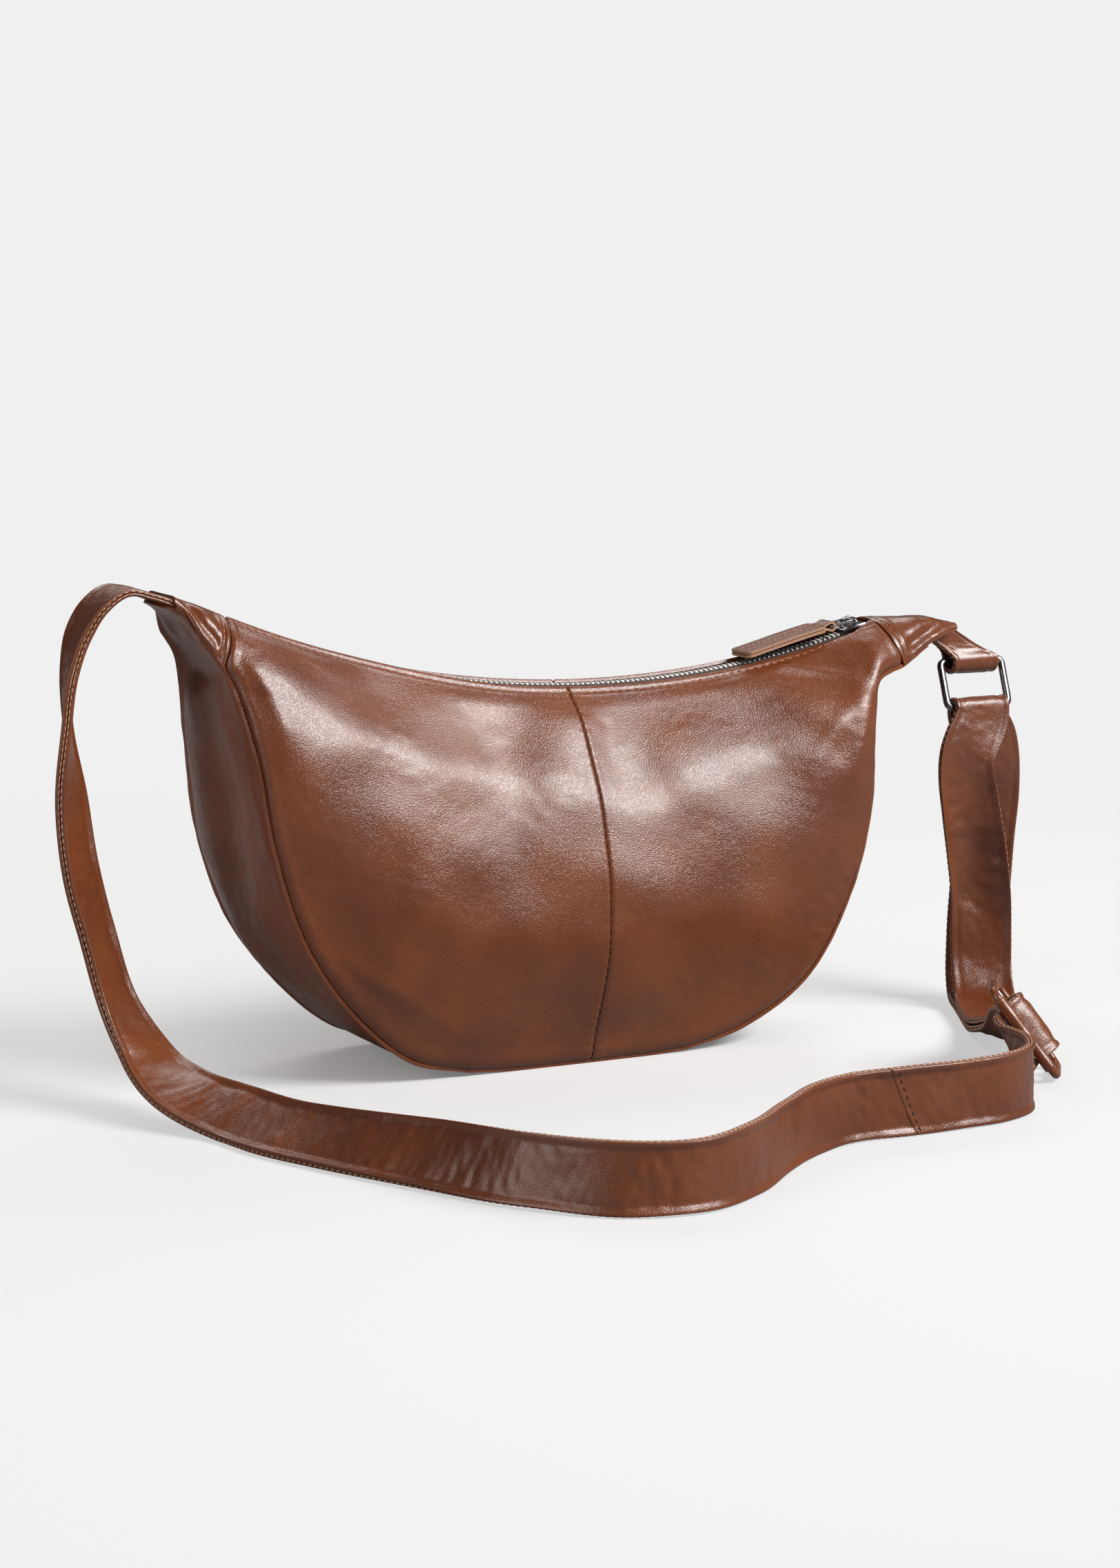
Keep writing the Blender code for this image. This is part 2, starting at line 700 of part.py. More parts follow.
def make_teeth(face, side, offset):
    """A cord on the tape's edge with a row of teeth on it. The other row's teeth stand between them."""
    pitch = TOOTH_PITCH / ARC_RADIUS
    half = TOOTH_LENGTH / 2 / ARC_RADIUS
    count = int((SLIDER_CLOSED - TEETH_START) / pitch)
    bm = bmesh.new()

    def pair(angle, y):
        return [
            bm.verts.new(on_arc(angle, lift, side * y)) for lift in (TOOTH_HALF_HEIGHT, -TOOTH_HALF_HEIGHT)
        ]

    def wall(first, last):
        bm.faces.new((first[0], last[0], last[1], first[1]))

    start = TEETH_START + offset * pitch
    outer = [pair(start + number * pitch, CORD_OUTER) for number in range(count + 1)]
    middles = [start + (number + 0.5) * pitch for number in range(count)]
    leading = [pair(middle - half, CORD_INNER) for middle in middles]
    trailing = [pair(middle + half, CORD_INNER) for middle in middles]
    leading.append(pair(start + count * pitch, CORD_INNER))
    for number, middle in enumerate(middles):
        tip_start = pair(middle - half, -TOOTH_OVERLAP)
        tip_end = pair(middle + half, -TOOTH_OVERLAP)
        for level in (0, 1):
            bm.faces.new(
                [
                    corner[level]
                    for corner in (
                        outer[number],
                        outer[number + 1],
                        leading[number + 1],
                        trailing[number],
                        leading[number],
                    )
                ]
            )
            bm.faces.new(
                [corner[level] for corner in (leading[number], trailing[number], tip_end, tip_start)]
            )
        wall(outer[number], outer[number + 1])
        wall(trailing[number], leading[number + 1])
        wall(leading[number], tip_start)
        wall(tip_start, tip_end)
        wall(tip_end, trailing[number])
    wall(outer[0], leading[0])
    wall(outer[count], leading[count])
    bmesh.ops.recalc_face_normals(bm, faces=bm.faces)
    name = f"{face}_zip_teeth"
    add_mesh(name, bm, metal(name), smooth_angle=0.3)


def make_stop(name, start, inner, outer):
    """A small block on the arc, of the teeth's height."""
    length = STOP_LENGTH / ARC_RADIUS
    outline = [(start, inner), (start + length, inner), (start + length, outer), (start, outer)]
    prism(name, outline, lambda angle, y, lift: on_arc(angle, lift, y), TOOTH_HALF_HEIGHT, metal(name))


def make_zip():
    make_tapes()
    make_teeth("front", -1, 0)
    make_teeth("back", 1, 0.5)
    make_stop("zip_bottom_stop", STOP_START, -CORD_OUTER, CORD_OUTER)
    make_stop("zip_top_stop_front", TOP_STOP_START, -CORD_OUTER, -TOOTH_OVERLAP)
    make_stop("zip_top_stop_back", TOP_STOP_START, TOOTH_OVERLAP, CORD_OUTER)


def make_slider():
    """Two plates with turned flanges, which a post joins where the rows part, and a bridge over the top."""
    frame = Matrix.Translation((ARC_CENTRE[0], 0, ARC_CENTRE[1])) @ Matrix.Rotation(-SLIDER_CLOSED, 4, "Y")
    axis = add_empty("zip_slide_axis", frame)
    slot = TAPE_THICKNESS / 2 + SLIDER_TAPE_SLOT
    outside = SLIDER_HALF_WIDTH
    inside = SLIDER_HALF_WIDTH - SLIDER_FLANGE

    def across(y, z, x):
        return (x, y, z - ARC_RADIUS)

    def channel(sign):
        """A plate and its two flanges, seen along the zip."""
        outline = (
            (-outside, SLIDER_TOP),
            (outside, SLIDER_TOP),
            (outside, slot),
            (inside, slot),
            (inside, SLIDER_INSIDE),
            (-inside, SLIDER_INSIDE),
            (-inside, slot),
            (-outside, slot),
        )
        return [(y, sign * z) for y, z in outline]

    body = prism("slider_body", channel(1), across, SLIDER_LENGTH / 2, metal("slider_body"), axis)
    below = prism("slider_lower", channel(-1), across, SLIDER_LENGTH / 2, metal("slider_lower"), axis)
    middle = SLIDER_LENGTH / 2 - SLIDER_POST
    half = SLIDER_POST_WIDTH / 2
    reach = SLIDER_INSIDE + SLIDER_PLATE / 2
    post_outline = [(-half, -reach), (half, -reach), (half, reach), (-half, reach)]
    post = prism(
        "slider_post",
        post_outline,
        lambda y, z, x: across(y, z, middle + x),
        SLIDER_POST / 2,
        metal("slider_post"),
        axis,
    )
    for guide in (post, below):
        bpy.data.collections["mini_bag"].objects.unlink(guide)
        bpy.data.collections["guides"].objects.link(guide)
        guide.hide_render = True
        guide.display_type = "WIRE"
        union = body.modifiers.new(guide.name, "BOOLEAN")
        union.operation = "UNION"
        union.object = guide
    turns = [math.pi * number / 10 for number in range(11)]
    outer = [(math.cos(a) * BRIDGE_HALF_LENGTH, math.sin(a) * BRIDGE_HEIGHT) for a in turns]
    reach = BRIDGE_HALF_LENGTH - BRIDGE_THICKNESS
    rise = BRIDGE_HEIGHT - BRIDGE_THICKNESS
    inner = [(math.cos(a) * reach, math.sin(a) * rise) for a in reversed(turns)]
    foot = SLIDER_TOP + TOUCH_GAP
    prism(
        "slider_bridge",
        outer + inner,
        lambda x, z, y: (x, y, z + foot - ARC_RADIUS),
        BRIDGE_WIDTH / 2,
        metal("slider_bridge"),
        axis,
    )
    return axis


def make_pull(axis):
    """The link in the bridge, and the leather strip folded round its far bar."""
    length = LINK_LENGTH + PULL_LENGTH
    half_thick = PULL_LEATHER + TOUCH_GAP / 2
    rise = ARC_RADIUS - math.sqrt(ARC_RADIUS**2 - length**2)
    tilt = math.asin((PULL_REST + half_thick + rise - PULL_HINGE) / length)
    along = np.array([-math.cos(SLIDER_CLOSED - tilt), 0, -math.sin(SLIDER_CLOSED - tilt)])
    across = np.array([0, 1.0, 0])
    place = on_arc(SLIDER_CLOSED, PULL_HINGE)
    hinge = add_empty("pull_flip_axis", axes_at(place, across, along, np.cross(across, along)), axis)
    far_bar = LINK_LENGTH - LINK_WIRE
    stamped_plate(
        "pull_link",
        LINK_WIDTH,
        (0, far_bar * 0.6, far_bar),
        LINK_WIRE,
        LINK_WIRE,
        LINK_WIRE,
        LINK_WIRE,
        metal("pull_link"),
        hinge,
    )
    layer = (PULL_LEATHER + TOUCH_GAP) / 2
    fold = math.hypot(LINK_WIRE, LINK_WIRE) / 2 + TOUCH_GAP + PULL_LEATHER / 2
    neck = LINK_WIDTH - 2 * LINK_WIRE - 4 * TOUCH_GAP
    shoulder = far_bar + LINK_WIRE / 2 + TOUCH_GAP + PULL_LEATHER
    tip = far_bar + PULL_LENGTH
    side_way = (1, 0, 0)
    half_run = [
        ((0, tip, layer), side_way, PULL_WIDTH - PULL_LEATHER),
        ((0, tip - PULL_LEATHER, layer), side_way, PULL_WIDTH),
        ((0, shoulder + 3 * PULL_LEATHER, layer), side_way, PULL_WIDTH),
        ((0, shoulder + PULL_LEATHER, layer), side_way, neck),
    ]
    rows = list(half_run)
    for angle in arc_angles(*PULL_TURN_DEGREES, 8):
        place = (0, far_bar + fold * math.cos(angle), fold * math.sin(angle))
        rows.append((place, side_way, neck))
    rows += [((x, y, -z), way, size) for (x, y, z), way, size in reversed(half_run)]
    strip("pull_tab", rows, (PULL_LEATHER, PULL_LEATHER / 3), leather("pull_tab"), hinge)


# The strap's pieces

def strap_places():
    """The middle of the strap's root, and of the ring's upper and lower bars."""
    root = np.array([ROOT_SHARES[0] * HALF_LENGTH, 0, ROOT_SHARES[1] * BAG_HEIGHT])
    upper = np.array([RING_SHARES[0] * HALF_LENGTH, 0, RING_SHARES[1] * BAG_HEIGHT])
    return root, upper, upper + ring_down() * RING_HEIGHT


def ring_down():
    """The way from the ring's upper bar to its lower one, which the strap draws forward."""
    lean = math.radians(RING_LEAN_DEGREES)
    return np.array([0, -math.sin(lean), -math.cos(lean)])


def add_strap_axis():
    root, upper, _ = strap_places()
    along = unit(upper - root)
    across = np.array([0, 1.0, 0])
    return add_empty("strap_swing_axis", axes_at(root, along, across, np.cross(along, across)))


def strap_strip(name, rows, cuts, axis=None):
    strip(name, rows, (STRAP_THICKNESS, STRAP_EDGE), leather(name), axis, axis is not None, cuts)


def make_strap_root():
    """The end of the strap that is sewn into the left tip, as far as where the strap swings."""
    root, upper, _ = strap_places()
    cut = unit(upper - root)
    rows = [hanging(shares) for shares in ROOT_RUN_SHARES]
    rows.append((root + cut * TOUCH_GAP / 2, (0, 1, 0), STRAP_WIDTH))
    strap_strip("strap_root", rows, (None, cut))


def standing(shares):
    """A row of the strap whose lower edge is on the floor there."""
    across = unit(shares[2])
    rise = FLOOR_GAP + STRAP_THICKNESS / 2 * math.sqrt(1 - across[2] ** 2)
    edge = np.array([shares[0] * HALF_LENGTH, shares[1] * STRAP_REACH, rise])
    return edge + across * STRAP_WIDTH / 2, across, STRAP_WIDTH


def hanging(shares):
    """A row of the strap at this height over where it would lie flat."""
    x, y, height, across = shares
    place = np.array([x * HALF_LENGTH, y * STRAP_REACH, STRAP_FLAT + height * BAG_HEIGHT])
    return place, unit(across), STRAP_WIDTH


def make_strap_main(axis):
    """From the root down to the floor, and along it on edge to the slanting splice."""
    root, upper, _ = strap_places()
    root_cut = unit(upper - root)
    splice_cut = unit((1, 0, SPLICE_SLANT_SHARE))
    rows = [(root - root_cut * TOUCH_GAP / 2, (0, 1, 0), STRAP_WIDTH)]
    rows += [hanging(shares) for shares in HANGING_SHARES]
    rows += [standing(shares) for shares in STANDING_SHARES]
    end, across, width = standing(SPLICE_SHARES)
    rows.append((end - splice_cut * TOUCH_GAP / 2, across, width))
    strap_strip("strap_main", rows, (root_cut, splice_cut), axis)


def adjuster_frame():
    """The middle of its near bar, the way of its bars, the way across them, and the way to its front."""
    across = unit(ADJUSTER_ACROSS_SHARES)
    along = np.array(ADJUSTER_ALONG_SHARES)
    along = unit(along - across * np.dot(along, across))
    front = np.cross(along, across)
    height = ADJUSTER_LENGTH / 2 * across[2] + ADJUSTER_THICKNESS / 2 * abs(front[2])
    height += ADJUSTER_BAR / 2 * abs(along[2]) + FLOOR_GAP + 2 * ADJUSTER_SPACING * max(-along[2], 0)
    place = np.array([ADJUSTER_SHARES[0] * HALF_LENGTH, ADJUSTER_SHARES[1] * STRAP_REACH, height])
    return place, across, along, front


def weave_radii():
    """How far the strap's middle stays from the middle of each bar as it weaves by."""
    half = STRAP_THICKNESS / 2
    sleeve = math.hypot(ADJUSTER_BAR / 2 + TOUCH_GAP, ADJUSTER_THICKNESS / 2 + TOUCH_GAP) + SLEEVE_WALL
    corner = math.hypot(ADJUSTER_BAR, ADJUSTER_THICKNESS) / 2
    wrap = corner + TOUCH_GAP + half
    near = sleeve + WEAVE_GAP + half
    middle = wrap + half + WEAVE_GAP + half
    far = corner + WEAVE_GAP + half
    return near, middle, far, wrap


def weave_rows():
    """Behind the near bar, over the middle bar and behind the far bar, with straight runs between."""
    place, across, along, front = adjuster_frame()
    near, middle, far, _ = weave_radii()
    first = math.degrees(math.asin((near + middle) / ADJUSTER_SPACING))
    second = math.degrees(math.asin((middle + far) / ADJUSTER_SPACING))
    arcs = (
        (0, near, arc_angles(NEAR_BAR_START_DEGREES, first - 90, 3)),
        (1, middle, arc_angles(first + 90, 90 - second, 5)),
        (2, far, arc_angles(-90 - second, FAR_BAR_END_DEGREES, 3)),
    )
    rows = []
    for number, radius, angles in arcs:
        for angle in angles:
            offset = along * (number * ADJUSTER_SPACING + radius * math.cos(angle))
            rows.append((place + offset + front * radius * math.sin(angle), across, STRAP_WIDTH))
    return rows


def wrap_rows():
    """The end of the strap: under the far bar's layer, then round the middle bar, where it is sewn."""
    place, across, along, front = adjuster_frame()
    _, _, far, wrap = weave_radii()
    under = far + STRAP_THICKNESS + STRAP_LAYER_GAP
    rows = []
    for number, depth in zip(WRAP_START_SHARES, (under, (under + wrap) / 2)):
        middle = place + along * number * ADJUSTER_SPACING - front * depth
        rows.append((middle, across, STRAP_WIDTH))
    for angle in arc_angles(*WRAP_DEGREES, 8):
        offset = along * (ADJUSTER_SPACING + wrap * math.cos(angle)) + front * wrap * math.sin(angle)
        rows.append((place + offset, across, STRAP_WIDTH))
    return rows


def second_layer(rows):
    """The same rows, raised by a layer of the strap."""
    step = STRAP_THICKNESS + STRAP_LAYER_GAP
    places = np.array([place for place, _, _ in rows])
    ways = np.gradient(places, axis=0)
    raised = []
    for (place, across, width), way in zip(rows, ways):
        raised.append((place + unit(np.cross(way, across)) * step, across, width))
    return raised


def make_strap_tail(axis):
    """From the splice through the adjuster, over the ring's lower bar and back to the middle bar."""
    _, _, bar = strap_places()
    splice_cut = unit((1, 0, SPLICE_SLANT_SHARE))
    start, across, width = standing(SPLICE_SHARES)
    rows = [(start + splice_cut * TOUCH_GAP / 2, across, width)]
    rows += [standing(shares) for shares in TAIL_START_SHARES]
    rows += weave_rows()
    floor_run = [hanging(shares) for shares in FLOOR_RUN_SHARES]
    rows += second_layer(floor_run)
    rows += [hanging(shares) for shares in FRONT_RUN_SHARES]
    radius = RING_WIRE / 2 + WEAVE_GAP + STRAP_THICKNESS / 2
    for angle in arc_angles(*RING_TURN_DEGREES, 7):
        place = bar + radius * np.array([0, math.cos(angle), math.sin(angle)])
        rows.append((place, (-1, 0, 0), STRAP_WIDTH))
    rows += [hanging(shares) for shares in BACK_RUN_SHARES]
    rows += list(reversed(floor_run))
    rows += wrap_rows()
    strap_strip("strap_tail", rows, (splice_cut, None), axis)


def make_adjuster(axis):
    """The three-bar slide, and the leather sleeve on its near bar."""
    place, across, along, front = adjuster_frame()
    seat = add_empty("adjuster_place", axes_at(place, across, along, np.cross(across, along)), axis)
    stamped_plate(
        "adjuster_frame",
        ADJUSTER_LENGTH,
        (0, ADJUSTER_SPACING, 2 * ADJUSTER_SPACING),
        ADJUSTER_BAR,
        ADJUSTER_BAR,
        ADJUSTER_THICKNESS,
        ADJUSTER_CORNER,
        metal("adjuster_frame"),
        seat,
    )
    curve = bpy.data.curves.new("adjuster_sleeve", "CURVE")
    curve.dimensions = "2D"
    curve.fill_mode = "BOTH"
    curve.extrude = SLEEVE_LENGTH / 2
    inner_y = ADJUSTER_BAR / 2 + TOUCH_GAP
    inner_z = ADJUSTER_THICKNESS / 2 + TOUCH_GAP
    for grown, corner in ((SLEEVE_WALL, SLEEVE_WALL), (0, SLEEVE_WALL / 3)):
        outline = rounded_rectangle(
            -inner_y - grown, inner_y + grown, -inner_z - grown, inner_z + grown, corner
        )
        spline = curve.splines.new("POLY")
        spline.points.add(len(outline) - 1)
        for point, (y, z) in zip(spline.points, outline):
            point.co = (y, z, 0, 1)
        spline.use_cyclic_u = True
    sleeve = add_object("adjuster_sleeve", curve, leather("adjuster_sleeve"), seat)
    sleeve.matrix_local = axes_at((0, 0, 0), (0, 1, 0), (0, 0, 1), (1, 0, 0))


def make_ring(axis):
    """A rounded rectangle of wire, its two long bars along X."""
    _, upper, _ = strap_places()
    half = RING_WIDTH / 2
    outline = rounded_rectangle(-half, half, 0, RING_HEIGHT, RING_CORNER)
    curve = bpy.data.curves.new("strap_ring", "CURVE")
    curve.dimensions = "3D"
    curve.bevel_depth = RING_WIRE / 2
    curve.bevel_resolution = 2
    spline = curve.splines.new("POLY")
    spline.points.add(len(outline) - 1)
    for point, (x, fall) in zip(spline.points, outline):
        place = upper + ring_down() * fall
        point.co = (place[0] + x, place[1], place[2], 1)
    spline.use_cyclic_u = True
    add_object("strap_ring", curve, metal("strap_ring"), axis, True)


def make_ring_tab():
    """A strip sewn into the right tip, which goes down round the ring's upper bar and back up."""
    _, bar, _ = strap_places()
    layer = (LEATHER + TOUCH_GAP) / 2
    radius = TAB_BORE + LEATHER / 2
    front = []
    count = len(TAB_SHARES)
    for number, (x, z) in enumerate(TAB_SHARES):
        part = number / count
        y = -layer - (radius - layer) * part * part * part
        across = (1, 0, TAB_SLOPE_SHARE * (1 - part))
        width = TAB_TOP_WIDTH + (TAB_WIDTH - TAB_TOP_WIDTH) * part
        front.append((np.array([x * HALF_LENGTH, y, z * BAG_HEIGHT]), across, width))
    rows = list(front)
    for angle in arc_angles(*TAB_TURN_DEGREES, 8):
        place = bar + radius * np.array([0, math.cos(angle), math.sin(angle)])
        rows.append((place, (1, 0, 0), TAB_WIDTH))
    rows += [(place * np.array([1, -1, 1]), across, width) for place, across, width in reversed(front)]
    strip("ring_tab", rows, (LEATHER, LEATHER / 3), leather("ring_tab"), sheared=True)


def main():
    clear_scene()
    make_panels()
    make_end_caps()
    make_gusset()
    make_linings()
    make_zip()
    make_pull(make_slider())
    make_ring_tab()
    make_strap_root()
    axis = add_strap_axis()
    make_strap_main(axis)
    make_strap_tail(axis)
    make_adjuster(axis)
    make_ring(axis)


main()
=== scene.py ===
# Mini bag: leather body with a curved zip, one long strap, a ring and a leather-covered slide
import math

import bmesh
import bpy
import numpy as np
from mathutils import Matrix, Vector


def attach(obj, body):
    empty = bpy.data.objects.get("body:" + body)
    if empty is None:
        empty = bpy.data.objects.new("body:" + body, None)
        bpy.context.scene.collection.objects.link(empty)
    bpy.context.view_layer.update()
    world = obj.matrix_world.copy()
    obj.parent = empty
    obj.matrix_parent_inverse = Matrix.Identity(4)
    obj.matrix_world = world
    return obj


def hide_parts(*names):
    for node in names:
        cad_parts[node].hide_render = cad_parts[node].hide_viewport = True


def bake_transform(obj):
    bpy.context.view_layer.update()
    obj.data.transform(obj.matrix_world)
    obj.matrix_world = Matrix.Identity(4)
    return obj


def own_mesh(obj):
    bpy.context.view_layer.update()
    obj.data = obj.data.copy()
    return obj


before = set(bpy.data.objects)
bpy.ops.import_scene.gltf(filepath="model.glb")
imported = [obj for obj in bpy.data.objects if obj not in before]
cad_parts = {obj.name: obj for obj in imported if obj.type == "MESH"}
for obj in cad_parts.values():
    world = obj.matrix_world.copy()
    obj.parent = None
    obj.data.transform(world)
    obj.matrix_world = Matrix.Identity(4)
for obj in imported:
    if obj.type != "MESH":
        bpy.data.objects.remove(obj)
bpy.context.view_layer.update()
print("frame loaded")

toRight, ahead, above = np.eye(3)

# Everything is in metres. Shares follow the bag's half length, height, depth and the strap's reach.
bag = {
    "halfLength": 0.188,
    "height": 0.212,
    "halfDepth": 0.040,
    "backDepthShare": 1.2,
    "belly": 0.018,
    "leather": 0.0016,
    "gap": 0.0003,
    "zipSag": 0.0282,
    "zipLeftShares": (-0.867, 0.952),
    "zipRightShares": (0.856, 0.870),
    "panelRise": 0.003,
    "halfOpening": 0.0071,
    "leftTipShare": -0.995,
    "rightTipShares": (1.100, 0.866),
    "tipTopShare": 0.6,
    "humpShare": 0.007,
    "leftCap": 0.047,
    "centreSeam": 0.500,
    "rightCap": 0.935,
    "gussetEnd": 0.967,
    # rounded corners where the flat of the base begins: height, place and width
    "baseCorners": ((0.0016, -0.064, 0.016), (0.0010, 0.048, 0.014)),
    # the flat sleeve of the left tip: a place on its middle, its fall per length and half its width
    "sleevePlace": (-0.187, 0.2112),
    "sleeveFall": 0.45,
    "sleeveHalfWidth": 0.0166,
}
# x, z and half depth along the seam between panel and gusset
seamShares = (
    (-1, 0.981, 0.48), (-0.9, 0.86, 0.64), (-0.853, 0.7, 0.9), (-0.82, 0.51, 1), (-0.74, 0.3, 1),
    (-0.62, 0.148, 1), (-0.48, 0.045, 0.98), (-0.33, 0, 0.94), (0, 0, 0.93), (0.24, 0, 0.94),
    (0.4, 0.045, 0.98), (0.56, 0.13, 1), (0.69, 0.31, 1), (0.75, 0.5, 0.98), (0.77, 0.67, 0.88),
    (0.8, 0.762, 0.74), (0.9, 0.79, 0.55), (0.995, 0.825, 0.35), (1.1, 0.851, 0.18),
)


def unit(vector):
    vector = np.asarray(vector, float)
    return vector / np.maximum(np.linalg.norm(vector, axis=-1, keepdims=True), 1e-12)


def hill(distance, width):
    return np.exp(-((distance / width) ** 2))


def ridges(distance, table):
    # rounded ridges and grooves side by side: height, place and width
    return sum(height * hill(distance - place, width) for height, place, width in table)


def ease(value, low, high):
    part = np.clip((value - low) / (high - low), 0, 1)
    return part * part * (3 - 2 * part)


def byShares(x, z, y=0.0):
    return np.array([x * bag["halfLength"], y, z * bag["height"]])


class SmoothLine:
    # a curve through rows of numbers, of which the first few are a place and measure its length
    def __init__(self, rows, measured):
        self.rows = np.array(rows, float)
        rises = np.diff(self.rows, axis=0)
        self.steps = np.linalg.norm(rises[:, :measured], axis=1)
        self.knots = np.concatenate([[0], np.cumsum(self.steps)])
        slopes = rises / self.steps[:, None]
        before, after = self.steps[:-1, None], self.steps[1:, None]
        inner = (slopes[:-1] * after + slopes[1:] * before) / (before + after)
        self.slopes = np.concatenate([slopes[:1], inner, slopes[-1:]])

    def at(self, lengths):
        index = np.clip(np.searchsorted(self.knots, lengths, side="right") - 1, 0, len(self.steps) - 1)
        step = self.steps[index][..., None]
        u = (lengths - self.knots[index])[..., None] / step
        first, last = self.rows[index], self.rows[index + 1]
        leaving, arriving = self.slopes[index] * step, self.slopes[index + 1] * step
        square = -3 * (first - last) - 2 * leaving - arriving
        cube = 2 * (first - last) + leaving + arriving
        row = first + u * leaving + u**2 * square + u**3 * cube
        return row, (leaving + 2 * u * square + 3 * u**2 * cube) / step


seam = SmoothLine(
    [(x * bag["halfLength"], z * bag["height"], depth * bag["halfDepth"]) for x, z, depth in seamShares], 2
)
seamLength = seam.knots[-1]


def arcOfZip():
    # the zip's centre and radius, then the angles of its two ends
    left, right = byShares(*bag["zipLeftShares"])[::2], byShares(*bag["zipRightShares"])[::2]
    halfChord = np.linalg.norm(right - left) / 2
    radius = (halfChord**2 + bag["zipSag"] ** 2) / (2 * bag["zipSag"])
    along = (right - left) / (2 * halfChord)
    centre = (left + right) / 2 + np.array([-along[1], along[0]]) * (radius - bag["zipSag"])
    return centre, radius, *(math.asin((end[0] - centre[0]) / radius) for end in (left, right))


arcCentre, arcRadius, zipLeft, zipRight = arcOfZip()
leftTip = math.asin((bag["leftTipShare"] * bag["halfLength"] - arcCentre[0]) / (arcRadius - bag["panelRise"]))


def onArc(angle, lift=0.0, y=0.0):
    angle, lift, y = np.broadcast_arrays(np.asarray(angle, float), lift, y)
    reach = arcRadius - lift
    return np.stack([arcCentre[0] + reach * np.sin(angle), y, arcCentre[1] - reach * np.cos(angle)], -1)


def seamHeight(x, z):
    return np.maximum(z, 0) + ridges(x, bag["baseCorners"]) * ease(z, 0.03, 0.005)


def skin(share, fall, side, closedTop=False):
    # a point of the outer leather: share runs along the seam, fall from the opening down to it
    share, fall, side = np.broadcast_arrays(np.asarray(share, float), fall, side)
    caps = (0, bag["leftCap"], bag["rightCap"], 1)
    top = onArc(np.interp(share, caps, (leftTip, zipLeft, zipRight, zipRight)), bag["panelRise"])
    beyond = np.maximum(share - bag["rightCap"], 0) / (1 - bag["rightCap"])
    top = top + (byShares(*bag["rightTipShares"]) - top) * beyond[..., None]
    top[..., 2] += bag["humpShare"] * bag["height"] * np.sin(np.pi * beyond)
    x, z, depth = np.moveaxis(seam.at(share * seamLength)[0], -1, 0)
    depth = depth * np.where(side > 0, bag["backDepthShare"], 1)
    part = np.interp(share, caps, (1, 0, 0, 1))
    opening = bag["halfOpening"] * (1 - part) + depth * bag["tipTopShare"] * part
    y = opening + (depth - opening) * (1 - (1 - fall) ** 3)
    along = np.clip((share - bag["leftCap"]) / (bag["rightCap"] - bag["leftCap"]), 0, 1)
    y = y + bag["belly"] * np.sin(np.pi * along) * np.sin(np.pi * fall)
    if closedTop:
        y = y * np.sqrt(np.maximum(1 - (1 - fall) ** 30, 0))
    place = top + (np.stack([x, 0 * x, seamHeight(x, z)], -1) - top) * fall[..., None]
    place[..., 1] += side * y
    return place


def normalsOf(points, outward):
    # of a grid of points, pointing the way of outward
    normals = unit(np.cross(np.gradient(points, axis=0), np.gradient(points, axis=1)))
    flip = np.sign((normals * outward).sum(-1, keepdims=True))
    return normals * np.where(flip == 0, 1, flip)


def ripples(points, wave, seed, stretch=(1, 1, 1), count=14):
    # smooth random waves of about this length
    rng = np.random.default_rng(seed)
    ways = unit(rng.normal(size=(count, 3))) * np.array(stretch)
    phases = rng.uniform(0, 2 * np.pi, count)
    scales = rng.uniform(0.7, 1.5, count)
    total = 0
    for way, phase, scale in zip(ways, phases, scales):
        total = total + np.sin(points @ way * (2 * np.pi / (wave * scale)) + phase)
    return total / math.sqrt(count / 2)


def spots(x, z, table):
    # soft round swellings: x, z, their two radii, the turn in degrees and the height
    total = 0
    for middleX, middleZ, long, short, turn, height in table:
        cos, sin = math.cos(math.radians(turn)), math.sin(math.radians(turn))
        u = (x - middleX) * cos + (z - middleZ) * sin
        v = (z - middleZ) * cos - (x - middleX) * sin
        total = total + height * hill(np.hypot(u / long, v / short), 1)
    return total


def folds(x, z, table):
    # long soft ridges: start, end, width and height, which fade out at both ends
    total = 0
    for startX, startZ, endX, endZ, width, height in table:
        length = math.hypot(endX - startX, endZ - startZ)
        wayX, wayZ = (endX - startX) / length, (endZ - startZ) / length
        along = (x - startX) * wayX + (z - startZ) * wayZ
        off = (z - startZ) * wayX - (x - startX) * wayZ
        off = off + 0.12 * length * ((along / length - 0.5) ** 2 - 0.25)
        fade = ease(along, -0.15 * length, 0.25 * length) * (1 - ease(along, 0.6 * length, 1.1 * length))
        total = total + height * fade * hill(off, width)
    return total


def placed(name, data):
    obj = bpy.data.objects.new(name, data)
    bpy.context.scene.collection.objects.link(obj)
    return obj


def addPiece(mesh, material, body, slot, stands=None):
    # it stands for the node of its slot, unless other nodes or none are named
    obj = placed(mesh.name, mesh)
    mesh.shade_smooth()
    mesh.materials.append(material)
    if body:
        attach(obj, body)
    stands = [slot] if stands is None else stands
    if stands:
        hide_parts(*stands)
    return obj


